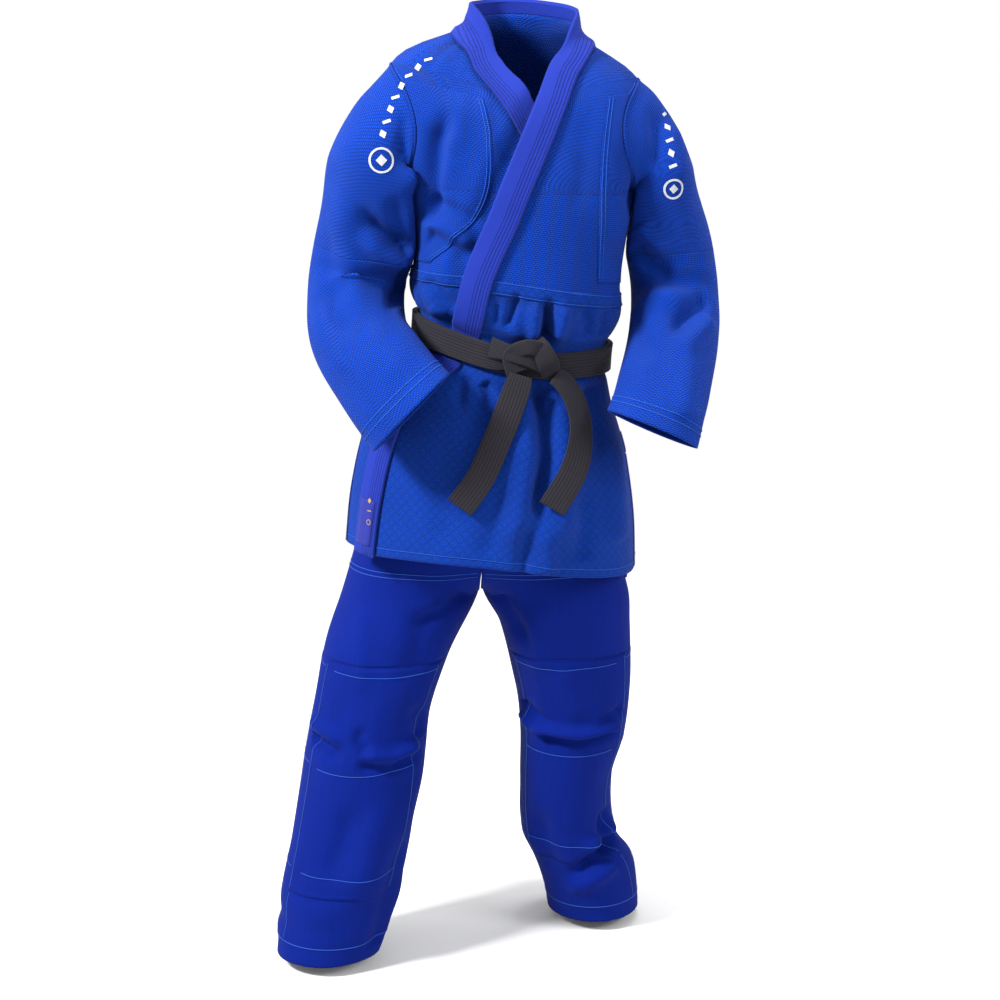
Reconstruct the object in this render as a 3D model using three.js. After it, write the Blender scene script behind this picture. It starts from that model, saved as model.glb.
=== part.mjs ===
// A judo uniform in the shape it takes on a standing wearer: a cross-over jacket with a stitched
// collar band, a belt wound twice and tied in a square knot, and wide trousers.
// Millimetres, +Z up, the wearer faces -Y, so the wearer's right side is at -X.
// Heights in this file are above the wearer's floor; the exported group puts its origin at NECK_HEIGHT.

import * as THREE from "three";

// ---- driving dimensions ----
const NECK_HEIGHT = 1530; // centre of the neck opening
const WAIST_SEAM = 1150; // where the chest weave meets the skirt weave
const NECK_LEVEL = 1532; // where the chest panels end under the collar
const HEM_LEVEL = 705; // bottom edge of the skirt
const VENT_LEVEL = 905; // top of the side vents
const BELT_LEVEL = 1062;
const JACKET_CLOTH = 2.6;
const INNER_LAYER = -13; // how far the under (right) front lies inside the upper (left) front
const TROUSER_CLOTH = 1.8;
const LAPEL_WIDTH = 48;
const LAPEL_CLOTH = 6;
const BELT_WIDTH = 45;
const BELT_CLOTH = 4.4;
const SEAM_GAP = 0.5; // half the gap between two panels at a seam
const SQUARENESS = 2.3; // superellipse exponent of the trunk's sections
const CROTCH = { x: -68, z: 640, riseFrom: 800 };

const DEG = Math.PI / 180;
const X_AXIS = new THREE.Vector3(1, 0, 0);
const Y_AXIS = new THREE.Vector3(0, 1, 0);
const Z_AXIS = new THREE.Vector3(0, 0, 1);

// ---- small tools ----
const vec = (x, y, z) => new THREE.Vector3(x, y, z);
const mix = (a, b, t) => a + (b - a) * t;
const clamp01 = (t) => Math.min(1, Math.max(0, t));
const smooth = (from, to, x) => {
  const t = clamp01((x - from) / (to - from));
  return t * t * (3 - 2 * t);
};

// Smooth values through hand-set rows [key, value, value, ...], sorted by key.
function profile(rows) {
  const slope = (k, c) => {
    const before = rows[Math.max(k - 1, 0)];
    const after = rows[Math.min(k + 1, rows.length - 1)];
    return (after[c] - before[c]) / (after[0] - before[0]);
  };
  return (key) => {
    let k = 0;
    while (k < rows.length - 2 && key > rows[k + 1][0]) k++;
    const [low, high] = [rows[k], rows[k + 1]];
    const span = high[0] - low[0];
    const t = clamp01((key - low[0]) / span);
    const [t2, t3] = [t * t, t * t * t];
    return low.slice(1).map((value, i) => {
      const c = i + 1;
      const start = (2 * t3 - 3 * t2 + 1) * value + (t3 - 2 * t2 + t) * slope(k, c) * span;
      return start + (3 * t2 - 2 * t3) * high[c] + (t3 - t2) * slope(k + 1, c) * span;
    });
  };
}

// The unit normal of surface(u, v) at a point, on the side that outward() points to.
function normalOf(surface, u, v, outward) {
  const [du, dv] = [1e-3, 1e-3];
  const alongU = surface(u + du, v).sub(surface(u - du, v));
  const alongV = surface(u, v + dv).sub(surface(u, v - dv));
  const n = alongU.cross(alongV).normalize();
  return n.dot(outward(surface(u, v))) < 0 ? n.negate() : n;
}

// Joins a grid of outer points and the matching inner points into one closed thin body.
function closeShell(outer, inner, ringed) {
  const [rows, cols] = [outer.length, outer[0].length];
  const points = [...outer.flat(), ...inner.flat()];
  const faces = [];
  const quad = (a, b, c, d) => faces.push(a, b, c, a, c, d);
  const top = (r, c) => r * cols + (c % cols);
  const under = (r, c) => rows * cols + top(r, c);
  const spans = ringed ? cols : cols - 1;
  for (let r = 0; r < rows - 1; r++) {
    for (let c = 0; c < spans; c++) {
      quad(top(r, c), top(r, c + 1), top(r + 1, c + 1), top(r + 1, c));
      quad(under(r, c), under(r + 1, c), under(r + 1, c + 1), under(r, c + 1));
    }
    if (!ringed) {
      quad(top(r, 0), top(r + 1, 0), under(r + 1, 0), under(r, 0));
      quad(top(r, cols - 1), under(r, cols - 1), under(r + 1, cols - 1), top(r + 1, cols - 1));
    }
  }
  const last = rows - 1;
  for (let c = 0; c < spans; c++) {
    quad(top(0, c), under(0, c), under(0, c + 1), top(0, c + 1));
    quad(top(last, c), top(last, c + 1), under(last, c + 1), under(last, c));
  }
  let volume = 0;
  for (let i = 0; i < faces.length; i += 3) {
    const [a, b, c] = [points[faces[i]], points[faces[i + 1]], points[faces[i + 2]]];
    volume += a.dot(b.clone().cross(c)) / 6;
  }
  if (volume < 0) faces.reverse();
  const geometry = new THREE.BufferGeometry();
  const flat = points.flatMap((p) => [p.x, p.y, p.z]);
  geometry.setAttribute("position", new THREE.Float32BufferAttribute(flat, 3));
  geometry.setIndex(faces);
  geometry.computeVertexNormals();
  return geometry;
}

// A sheet of cloth on a surface: at(r, c) gives the surface's own (u, v) for r, c from 0 to 1.
function clothOn(surface, outward, at, rows, cols, cloth, { lift = 0, ringed = false } = {}) {
  const liftAt = typeof lift === "function" ? lift : () => lift;
  const [outer, inner] = [[], []];
  for (let r = 0; r <= rows; r++) {
    const count = ringed ? cols : cols + 1;
    const [outerRow, innerRow] = [[], []];
    for (let c = 0; c < count; c++) {
      const [u, v] = at(r / rows, c / cols);
      const n = normalOf(surface, u, v, outward);
      const raised = liftAt(u, v);
      outerRow.push(surface(u, v).addScaledVector(n, raised));
      innerRow.push(surface(u, v).addScaledVector(n, raised - cloth));
    }
    outer.push(outerRow);
    inner.push(innerRow);
  }
  return closeShell(outer, inner, ringed);
}

// A band of cloth along a path of (u, v) points on a surface, bending with it both ways.
function ribbon(surface, outward, path, width, cloth, { lift = 0, ringed = false, across = 2 } = {}) {
  const count = path.length;
  const liftAt = typeof lift === "function" ? lift : () => lift;
  const [outer, inner] = [[], []];
  path.forEach(([u, v], i) => {
    const before = surface(...path[ringed ? (i + count - 1) % count : Math.max(i - 1, 0)]);
    const after = surface(...path[ringed ? (i + 1) % count : Math.min(i + 1, count - 1)]);
    const n = normalOf(surface, u, v, outward);
    const side = after.sub(before).cross(n).normalize();
    const alongU = surface(u + 1e-3, v).sub(surface(u - 1e-3, v)).divideScalar(2e-3);
    const alongV = surface(u, v + 1e-2).sub(surface(u, v - 1e-2)).divideScalar(2e-2);
    const [uu, uv, vv] = [alongU.dot(alongU), alongU.dot(alongV), alongV.dot(alongV)];
    const [us, vs] = [alongU.dot(side), alongV.dot(side)];
    const spread = uu * vv - uv * uv;
    const [du, dv] = [(us * vv - vs * uv) / spread, (vs * uu - us * uv) / spread];
    const [outerRow, innerRow] = [[], []];
    for (let k = 0; k <= across; k++) {
      const reach = (k / across - 0.5) * width;
      const [pu, pv] = [u + du * reach, v + dv * reach];
      const normal = normalOf(surface, pu, pv, outward);
      const raised = liftAt(pu, pv);
      outerRow.push(surface(pu, pv).addScaledVector(normal, raised + cloth));
      innerRow.push(surface(pu, pv).addScaledVector(normal, raised));
    }
    outer.push(outerRow);
    inner.push(innerRow);
  });
  if (!ringed) return closeShell(outer, inner, false);
  const turn = (grid) => grid[0].map((_, k) => grid.map((row) => row[k]));
  return closeShell(turn(outer), turn(inner), true);
}

// ---- colours and finishes ----
const finish = (color, roughness) => new THREE.MeshStandardMaterial({ color, roughness, metalness: 0 });
const WEAVE = finish(0x1238b8, 0.85);
const SKIRT_WEAVE = finish(0x0f34b4, 0.85);
const LAPEL = finish(0x2a2fb4, 0.75);
const TROUSER = finish(0x0a2aa6, 0.8);
const BELT = finish(0x1d1c20, 0.7);
const TAPE = finish(0x2f2cab, 0.7);
const LABEL = finish(0x2a2caa, 0.6);
const THREAD = finish(0xeef0f6, 0.5);
const TIE = finish(0xdfe2ea, 0.8);

const root = new THREE.Group();
root.name = "judo_uniform";
root.position.z = -NECK_HEIGHT;
function add(name, geometry, material) {
  const mesh = new THREE.Mesh(geometry, material);
  mesh.name = name;
  root.add(mesh);
}

// ---- the jacket's surface ----
// level, half width, depth to the front, depth to the back, centre x, centre y,
// rise of the front, rise of the back, how far the left side hangs lower than the right
const TRUNK = profile([
  [700, 240, 186, 168, -48, 0, 15, 0, 22],
  [800, 232, 184, 158, -44, 0, 12, 0, 24],
  [900, 212, 170, 144, -40, -2, 6, 0, 25],
  [960, 188, 152, 128, -34, -4, -4, 2, 26],
  [1000, 168, 136, 114, -26, -6, -12, 5, 26],
  [1038, 152, 126, 106, -18, -7, -19, 8, 26],
  [1062, 150, 124, 105, -16, -7, -22, 10, 26],
  [1086, 152, 126, 107, -14, -7, -20, 10, 26],
  [1118, 165, 142, 120, -11, -6, -9, 6, 25],
  [1150, 168, 147, 126, -9, -5, 6, 2, 23],
  [1200, 168, 148, 130, -5, -3, 6, 0, 15],
  [1260, 177, 149, 134, -3, -1, 0, 0, 6],
  [1300, 186, 148, 137, -3, 0, 0, 0, 6],
  [1360, 199, 142, 137, -5, 3, -8, 10, 8],
  [1420, 207, 134, 132, -8, 6, -20, 12, 10],
  [1465, 206, 120, 122, -10, 8, -29, 14, 11],
  [1500, 182, 104, 108, -12, 9, -38, 14, 12],
  [1525, 138, 88, 95, -8, 10, -43, 10, 10],
  [1545, 94, 74, 82, -2, 10, -48, 6, 6],
  [1570, 82, 66, 76, 0, 12, -40, 4, 2],
  [1600, 76, 62, 72, 0, 14, -36, 2, 0],
]);

// The jacket's surface: angle 0 is the front, +90 degrees the wearer's left side, 180 the back.
function trunk(angle, level) {
  const [wide, front, back, cx, cy, riseFront, riseBack, tilt] = TRUNK(level);
  const [s, c] = [Math.sin(angle), Math.cos(angle)];
  const [deep, rise] = c > 0 ? [front, riseFront] : [back, riseBack];
  const sum = Math.abs(s / wide) ** SQUARENESS + Math.abs(c / deep) ** SQUARENESS;
  const radius = sum ** (-1 / SQUARENESS);
  return vec(cx + radius * s, cy - radius * c, level + rise * c * c - tilt * s);
}
const fromTrunkAxis = (p) => vec(p.x - TRUNK(p.z)[3], p.y - TRUNK(p.z)[4], 0);

// The angle at which the trunk's front has a given x.
function angleAt(x, level) {
  const [wide, front, , cx] = TRUNK(level);
  const share = Math.min(0.995, Math.abs(x - cx) / wide);
  return Math.atan2(x - cx, front * (1 - share ** SQUARENESS) ** (1 / SQUARENESS));
}

// Centre lines of the two lapels: level, x.
const LEFT_LAPEL_LINE = profile([
  [700, -250], [800, -236], [900, -212], [960, -182], [1000, -150], [1040, -112], [1086, -88],
  [1118, -79], [1150, -70], [1200, -53], [1300, -14], [1360, 7], [1420, 27], [1465, 42], [1500, 54],
]);
const RIGHT_LAPEL_LINE = profile([
  [700, 190], [900, 148], [1062, 104], [1118, 100], [1200, 88], [1300, 64], [1360, 44],
  [1420, 20], [1465, -4], [1510, -28],
]);
const lapelAngle = (side, level) =>
  angleAt((side > 0 ? LEFT_LAPEL_LINE : RIGHT_LAPEL_LINE)(level)[0], level);

// How far the right front lies under the left one: nothing on its own side of the left lapel.
const underlap = (angle, level) => {
  const edge = lapelAngle(1, Math.min(level, 1500));
  return INNER_LAYER * smooth(edge - 26 * DEG, edge - 10 * DEG, angle) * (1 - smooth(1478, 1505, level));
};

// ---- armholes and sleeves ----
const ARMHOLE = { level: 1396, halfHeight: 92, halfAngle: 32 * DEG };
const armholeCut = (level) => {
  const t = (level - ARMHOLE.level) / ARMHOLE.halfHeight;
  return Math.abs(t) < 1 ? ARMHOLE.halfAngle * Math.sqrt(1 - t * t) : 0;
};

// share of the arm's length, centre x, y, z, half width, half depth
const SLEEVES = {
  right: {
    side: -1,
    axis: profile([
      [0, -188, 6, 1418, 84, 84],
      [0.07, -208, -6, 1386, 80, 90],
      [0.14, -236, -22, 1345, 70, 92],
      [0.27, -244, -24, 1278, 74, 86],
      [0.4, -252, -10, 1206, 82, 82],
      [0.53, -264, -8, 1140, 80, 77],
      [0.68, -257, -70, 1078, 80, 68],
      [0.84, -222, -150, 1028, 82, 58],
      [1, -170, -206, 974, 84, 52],
    ]),
  },
  left: {
    side: 1,
    axis: profile([
      [0, 184, 8, 1402, 82, 84],
      [0.07, 188, 10, 1374, 74, 86],
      [0.14, 228, 14, 1335, 48, 92],
      [0.27, 237, 22, 1268, 55, 88],
      [0.4, 243, 27, 1196, 68, 82],
      [0.53, 246, 12, 1128, 74, 77],
      [0.68, 238, -44, 1062, 76, 70],
      [0.84, 226, -112, 1000, 77, 60],
      [1, 203, -166, 940, 78, 52],
    ]),
  },
};

// Moves a point out to at least a gap from the trunk.
function clearOfTrunk(point, gap) {
  const out = fromTrunkAxis(point);
  const angle = Math.atan2(out.x, -out.y);
  const [, , , , , riseFront, riseBack, tilt] = TRUNK(point.z);
  const c = Math.cos(angle);
  const level = point.z - (c > 0 ? riseFront : riseBack) * c * c + tilt * Math.sin(angle);
  const short = fromTrunkAxis(trunk(angle, level)).length() + gap - out.length();
  return short > 0 ? point.addScaledVector(out.normalize(), short) : point;
}

// Sleeve surface: turn goes round the arm from the wearer's left through the front.
function sleeve({ side, axis }) {
  const centre = (s) => vec(...axis(s).slice(0, 3));
  return (turn, s) => {
    const [, , , wide, deep] = axis(s);
    const along = centre(s + 0.01).sub(centre(s - 0.01)).normalize();
    const across = along.clone().cross(Y_AXIS).normalize();
    const forward = along.clone().cross(across).normalize();
    const ring = centre(s)
      .addScaledVector(across, wide * Math.cos(turn))
      .addScaledVector(forward, deep * Math.sin(turn));
    const level = ARMHOLE.level + side * ARMHOLE.halfHeight * Math.cos(turn);
    const angle = side * (90 * DEG - ARMHOLE.halfAngle * Math.sin(turn));
    const sewn = trunk(angle, level).addScaledVector(along, s * 500);
    const point = sewn.lerp(ring, smooth(0, 0.16, s));
    return s < 0.5 ? clearOfTrunk(point, 3 + 5 * smooth(0, 0.05, s)) : point;
  };
}

// ---- trousers ----
// level, centre x, centre y, half width, half depth
const LEGS = {
  right: {
    side: -1,
    axis: profile([
      [20, -330, -62, 86, 84],
      [70, -318, -56, 95, 88],
      [170, -297, -46, 101, 92],
      [300, -273, -34, 103, 95],
      [370, -264, -28, 101, 98],
      [443, -253, -20, 99, 100],
      [530, -229, -10, 106, 106],
      [640, -185, 0, 116, 112],
      [800, -160, 4, 112, 118],
      [1040, -110, 0, 80, 100],
    ]),
  },
  left: {
    side: 1,
    axis: profile([
      [20, 134, 126, 80, 84],
      [70, 126, 120, 84, 88],
      [120, 108, 112, 86, 90],
      [170, 86, 104, 84, 92],
      [280, 80, 84, 82, 95],
      [370, 90, 66, 92, 98],
      [460, 90, 48, 97, 100],
      [580, 74, 22, 112, 108],
      [640, 60, 10, 126, 112],
      [800, 40, 4, 112, 118],
      [1040, 40, 0, 80, 100],
    ]),
  },
};
// level, half width, depth to the front, depth to the back, centre x
const HIPS = profile([
  [600, 222, 128, 134, -68],
  [640, 218, 132, 138, -68],
  [700, 208, 136, 140, -64],
  [800, 196, 140, 134, -54],
  [900, 184, 132, 122, -42],
  [980, 158, 112, 106, -36],
  [1040, 138, 100, 92, -33],
]);

// Trouser surface: turn runs from the front seam round the outside to the back seam, -180 to 180
// degrees. Above the crotch it is half of the hips; below it, a closed leg.
function trouser({ side, axis }) {
  return (turn, level) => {
    const [wide, front, back, seamX] = HIPS(level);
    const [across, along] = [Math.cos(turn / 2), Math.sin(turn / 2)];
    const hip = vec(
      seamX + side * wide * Math.max(across, 0) ** 0.86,
      (turn < 0 ? front : back) * Math.sign(along) * Math.abs(along) ** 0.86,
      level,
    );
    const [cx, cy, half, deep] = axis(level);
    const leg = vec(cx + side * half * Math.cos(turn), cy + deep * Math.sin(turn), level);
    const t = clamp01((CROTCH.riseFrom - level) / (CROTCH.riseFrom - CROTCH.z));
    const point = hip.lerp(leg, 1 - Math.sqrt(1 - t * t));
    if (level > CROTCH.z - 30) point.x = side * Math.max(side * (point.x - seamX), SEAM_GAP) + seamX;
    return point;
  };
}

// ---- jacket: chest panels ----
const CHEST_LEVELS = [
  WAIST_SEAM + 1, 1182, 1220, 1260, 1296, 1322, 1350, 1380, 1410, 1440, 1468, 1492, 1512, NECK_LEVEL,
];
const chestLevel = (r, low, high) => CHEST_LEVELS[low + Math.round(r * (high - low))];
const TOP = CHEST_LEVELS.length - 1;
function chestPanel(side, { lift, cols }) {
  const at = (r, c) => {
    const level = chestLevel(r, 0, TOP);
    const from = lapelAngle(side, level);
    const to = side * (90 * DEG - armholeCut(level)) - side * 0.004;
    return [mix(from, to, c), level];
  };
  return clothOn(trunk, fromTrunkAxis, at, TOP, cols, JACKET_CLOTH, { lift });
}
function backPanel(cols) {
  const at = (r, c) => {
    const level = chestLevel(r, 0, TOP);
    const half = 90 * DEG - armholeCut(level) - 0.004;
    return [180 * DEG + mix(-half, half, c), level];
  };
  return clothOn(trunk, fromTrunkAxis, at, TOP, cols, JACKET_CLOTH);
}
add("back_panel", backPanel(14), WEAVE);
add("left_front_panel", chestPanel(1, { lift: 0, cols: 9 }), WEAVE);
add("right_front_panel", chestPanel(-1, { lift: underlap, cols: 16 }), WEAVE);

// ---- jacket: skirt ----
const SKIRT_LEVELS = [HEM_LEVEL, 780, 850, 905, 955, 1000, 1036, 1062, 1088, 1118, WAIST_SEAM - 1];
function skirtPanel(fromAngle, toAngle, { lift, cols = 12 }) {
  const rows = SKIRT_LEVELS.length - 1;
  const at = (r, c) => {
    const level = SKIRT_LEVELS[Math.round(r * rows)];
    return [mix(fromAngle(level), toAngle(level), c), level];
  };
  return clothOn(trunk, fromTrunkAxis, at, rows, cols, JACKET_CLOTH, { lift });
}
const ventGap = (level) => (1 - smooth(VENT_LEVEL - 40, VENT_LEVEL + 40, level)) * 4 * DEG;
const sideAngle = (side) => (level) => side * (90 * DEG - 0.004 - ventGap(level));
const backAngle = (side) => (level) => 180 * DEG - side * (90 * DEG - 0.004);
add("back_skirt", skirtPanel(backAngle(1), backAngle(-1), { lift: 0, cols: 14 }), SKIRT_WEAVE);
add(
  "left_front_skirt",
  skirtPanel((level) => lapelAngle(1, level), sideAngle(1), { lift: 0, cols: 14 }),
  SKIRT_WEAVE,
);
add(
  "right_front_skirt",
  skirtPanel(sideAngle(-1), (level) => lapelAngle(-1, level), { lift: underlap, cols: 16 }),
  SKIRT_WEAVE,
);

// ---- bands that follow the trunk ----
const steps = (count, make) => Array.from({ length: count + 1 }, (_, i) => make(i / count));
const trunkBand = (path, width, cloth, options) =>
  ribbon(trunk, fromTrunkAxis, path, width, cloth, options);
const onTrunk = (angle, level) => ({
  point: trunk(angle, level),
  normal: normalOf(trunk, angle, level, fromTrunkAxis),
});
const lapelRun = (side, low, high, count) =>
  steps(count, (t) => [lapelAngle(side, mix(low, high, t)), mix(low, high, t)]);

const LAPEL_LIFT = 2.4;
const underLapelLift = (angle, level) => underlap(angle, level) + 2.6;
add(
  "left_lapel",
  trunkBand(lapelRun(1, BELT_LEVEL + 34, 1490, 14), LAPEL_WIDTH, LAPEL_CLOTH, { lift: LAPEL_LIFT, across: 3 }),
  LAPEL,
);
add(
  "left_lapel_end",
  trunkBand(lapelRun(1, HEM_LEVEL, BELT_LEVEL - 40, 8), LAPEL_WIDTH, LAPEL_CLOTH, { lift: LAPEL_LIFT, across: 2 }),
  LAPEL,
);
const UNDER_LAPEL_CLOTH = 3.6;
add(
  "right_lapel",
  trunkBand(lapelRun(-1, WAIST_SEAM + 6, 1504, 14), LAPEL_WIDTH, UNDER_LAPEL_CLOTH, {
    lift: underLapelLift,
    across: 3,
  }),
  LAPEL,
);
add(
  "right_lapel_end",
  trunkBand(lapelRun(-1, HEM_LEVEL + 4, BELT_LEVEL - 40, 8), LAPEL_WIDTH, UNDER_LAPEL_CLOTH, {
    lift: underLapelLift,
    across: 2,
  }),
  LAPEL,
);

// The collar stands round the neck and runs down into both lapels.
// Rows: share of the way round, angle in degrees, level.
const COLLAR_PATH = profile([
  [0, 30, 1506],
  [0.08, 48, 1530],
  [0.18, 72, 1549],
  [0.28, 100, 1563],
  [0.5, 180, 1572],
  [0.72, 260, 1567],
  [0.86, 296, 1561],
  [0.93, 320, 1540],
  [1, 341, 1512],
]);
const collarRun = steps(24, (t) => {
  const [degrees, level] = COLLAR_PATH(t);
  return [degrees * DEG, level];
});
add("collar", trunkBand(collarRun, LAPEL_WIDTH, LAPEL_CLOTH, { lift: LAPEL_LIFT, across: 3 }), LAPEL);

// Chest reinforcements between each lapel and armhole, and the tape over the waist seam.
const CHEST_PATCH_CLOTH = 1.2;
const RIGHT_PATCH_EDGE = profile([[1170, -150], [1240, -90], [1300, -54], [1400, -48], [1470, -62]]);
const LEFT_PATCH_EDGE = profile([[1170, 116], [1300, 116], [1400, 122], [1470, 132]]);
function chestPatch(side, lift) {
  const edge = side > 0 ? LEFT_PATCH_EDGE : RIGHT_PATCH_EDGE;
  const at = (r, c) => {
    const level = chestLevel(r, 1, TOP - 3);
    const outer = side * (90 * DEG - armholeCut(level) - 0.1);
    return [mix(angleAt(edge(level)[0], level), outer, c), level];
  };
  const raised = (angle, level) => lift(angle, level) + CHEST_PATCH_CLOTH + 3.2;
  return clothOn(trunk, fromTrunkAxis, at, TOP - 4, 6, CHEST_PATCH_CLOTH, { lift: raised });
}
add("left_chest_patch", chestPatch(1, () => 0), WEAVE);
add("right_chest_patch", chestPatch(-1, underlap), WEAVE);

const TAPE_CLOTH = 1.2;
const TAPE_WIDTH = 18;
const TAPE_LIFT = 0.9;
const seamTape = (fromDeg, toDeg, lift, count) =>
  trunkBand(
    steps(count, (t) => [mix(fromDeg, toDeg, t) * DEG, WAIST_SEAM + 10]),
    TAPE_WIDTH,
    TAPE_CLOTH,
    { lift },
  );
add("back_waist_tape", seamTape(93, 267, TAPE_LIFT, 22), SKIRT_WEAVE);
add("left_waist_tape", seamTape(6, 87, TAPE_LIFT, 12), SKIRT_WEAVE);
add("right_waist_tape", seamTape(-87, -42, TAPE_LIFT, 6), SKIRT_WEAVE);

// Tapes that bind the vent edges, and the triangles that stop each vent from tearing upwards.
const VENT_TAPE_WIDTH = 14;
function ventTape(side, facesBack, lift) {
  const inset = 2.6 * DEG;
  const edge = facesBack ? backAngle(side) : sideAngle(side);
  const sign = facesBack ? side : -side;
  const run = steps(8, (t) => {
    const level = mix(HEM_LEVEL + 2, VENT_LEVEL - 14, t);
    return [edge(level) + sign * inset, level];
  });
  return trunkBand(run, VENT_TAPE_WIDTH, TAPE_CLOTH, { lift });
}
add("left_vent_front_tape", ventTape(1, false, TAPE_LIFT), TAPE);
add("left_vent_back_tape", ventTape(1, true, TAPE_LIFT), TAPE);
add("right_vent_front_tape", ventTape(-1, false, TAPE_LIFT), TAPE);
add("right_vent_back_tape", ventTape(-1, true, TAPE_LIFT), TAPE);
function ventGusset(side) {
  const at = (r, c) => {
    const level = mix(VENT_LEVEL + 2, VENT_LEVEL + 50, r);
    const half = mix(9, 1.5, r) * DEG;
    return [side * 90 * DEG + mix(-half, half, c), level];
  };
  return clothOn(trunk, fromTrunkAxis, at, 3, 4, TAPE_CLOTH, { lift: TAPE_CLOTH + 1.2 });
}
add("left_vent_gusset", ventGusset(1), TAPE);
add("right_vent_gusset", ventGusset(-1), TAPE);

// The woven label near the foot of the left lapel: a flat plate on the band.
const LABEL_LEVEL = HEM_LEVEL + 78;
const labelRun = lapelRun(1, LABEL_LEVEL - 48, LABEL_LEVEL + 48, 4);
add("lapel_label", trunkBand(labelRun, 36, 0.8, { lift: LAPEL_LIFT + LAPEL_CLOTH + 0.4 }), LABEL);

// ---- belt ----
const BELT_CLEAR = 2.2;
function beltWrap(lift) {
  const run = Array.from({ length: 40 }, (_, i) => [(i / 40) * 360 * DEG, BELT_LEVEL]);
  return trunkBand(run, BELT_WIDTH, BELT_CLOTH, { lift, ringed: true });
}
const OUTER_WRAP_LIFT = BELT_CLEAR + BELT_CLOTH + 0.6;
add("belt_inner_wrap", beltWrap(BELT_CLEAR), BELT);
add("belt_outer_wrap", beltWrap(OUTER_WRAP_LIFT), BELT);

// The square knot: a core and two bights that lie over it, in front of the outer wrap.
const KNOT_X = 16;
const knotStation = onTrunk(angleAt(KNOT_X, BELT_LEVEL), BELT_LEVEL);
const KNOT_FRONT = knotStation.point.y - OUTER_WRAP_LIFT - BELT_CLOTH - 4;
const KNOT_Z = knotStation.point.z;
function roundedBlock(w, h, d, r) {
  const shape = new THREE.Shape();
  shape.moveTo(-w / 2 + r, -h / 2);
  shape.lineTo(w / 2 - r, -h / 2).quadraticCurveTo(w / 2, -h / 2, w / 2, -h / 2 + r);
  shape.lineTo(w / 2, h / 2 - r).quadraticCurveTo(w / 2, h / 2, w / 2 - r, h / 2);
  shape.lineTo(-w / 2 + r, h / 2).quadraticCurveTo(-w / 2, h / 2, -w / 2, h / 2 - r);
  shape.lineTo(-w / 2, -h / 2 + r).quadraticCurveTo(-w / 2, -h / 2, -w / 2 + r, -h / 2);
  const bevel = 3;
  return new THREE.ExtrudeGeometry(shape, {
    depth: d - 2 * bevel,
    bevelThickness: bevel,
    bevelSize: bevel,
    bevelOffset: -bevel,
    bevelSegments: 2,
    curveSegments: 4,
  })
    .translate(0, 0, bevel)
    .rotateX(90 * DEG);
}
function knotPiece(w, h, d, x, z, gap, tiltDeg) {
  const block = roundedBlock(w, h, d, 10).rotateY(tiltDeg * DEG);
  return block.translate(KNOT_X + x, KNOT_FRONT - gap, KNOT_Z + z);
}
add("knot_core", knotPiece(56, 38, 10, 0, 1, 1, 8), BELT);
add("knot_right_bight", knotPiece(42, 28, 9, -15, 6, 12, -24), BELT);
add("knot_left_bight", knotPiece(44, 30, 9, 16, -6, 22, 28), BELT);

// Each tail leaves the knot, turns down and lies on the skirt; rows: share, x, height, gap to skirt.
const TAILS = {
  right: profile([
    [0, 2, 1006, 23], [0.25, -14, 962, 20], [0.5, -36, 916, 18], [0.75, -62, 868, 16], [1, -96, 832, 14],
  ]),
  left: profile([
    [0, 50, 1010, 22], [0.2, 74, 984, 24], [0.45, 92, 934, 26], [0.7, 84, 878, 22], [1, 48, 818, 15],
  ]),
};
function tail(path) {
  // The tail's own sheet: u is a share of the length, v a distance across it.
  const sheet = (u, v) => {
    const [x, z, gap] = path(u);
    const [nextX, nextZ] = path(u + 0.01);
    const [lastX, lastZ] = path(u - 0.01);
    const slant = Math.atan2(nextX - lastX, lastZ - nextZ);
    const [px, pz] = [x + v * Math.cos(slant), z + v * Math.sin(slant)];
    const level = pz + (pz - trunk(angleAt(px, pz), pz).z);
    const flat = trunk(angleAt(x, z), level).y - gap;
    return vec(px, flat, pz);
  };
  const at = (r, c) => [r, mix(-BELT_WIDTH / 2, BELT_WIDTH / 2, c)];
  return clothOn(sheet, () => Y_AXIS.clone().negate(), at, 12, 2, BELT_CLOTH);
}
add("belt_right_tail", tail(TAILS.right), BELT);
add("belt_left_tail", tail(TAILS.left), BELT);

// ---- sleeves: shoulder, upper arm, elbow, forearm, cuff ----
const SLEEVE_PARTS = [
  ["sleeve_head", 0.008, 0.25, 4],
  ["upper_sleeve", 0.26, 0.4, 3],
  ["sleeve_elbow", 0.41, 0.69, 6],
  ["forearm_sleeve", 0.7, 0.945, 4],
  ["sleeve_cuff", 0.95, 1, 1],
];
const SLEEVE_FACETS = 18;
// Badges: degrees round the sleeve, share of the sleeve's length, half width (radians), half height (share).
const BADGES = { right: [79, 0.144, 0.29, 0.025], left: [89, 0.175, 0.38, 0.031] };
const BADGE_LIFT = 2.5;
for (const [name, arm] of Object.entries(SLEEVES)) {
  const surface = sleeve(arm);
  const outward = (s) => (p) => p.clone().sub(vec(...arm.axis(s).slice(0, 3)));
  for (const [part, from, to, rows] of SLEEVE_PARTS) {
    const at = (r, c) => [c * 360 * DEG, mix(from, to, r)];
    const geometry = clothOn(surface, outward((from + to) / 2), at, rows, SLEEVE_FACETS, JACKET_CLOTH, {
      ringed: true,
    });
    add(`${name}_${part}`, geometry, WEAVE);
  }
  // A round embroidered badge on the front of the sleeve head, near the shoulder.
  const [turn, along, wide, high] = BADGES[name];
  const badge = (r, c) => {
    const reach = mix(0.35, 1, r);
    return [
      turn * DEG + wide * reach * Math.cos(c * 360 * DEG),
      along + high * reach * Math.sin(c * 360 * DEG),
    ];
  };
  const ring = clothOn(surface, outward(along), badge, 1, 14, 0.8, { lift: BADGE_LIFT, ringed: true });
  add(`${name}_shoulder_badge`, ring, THREAD);
}

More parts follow.
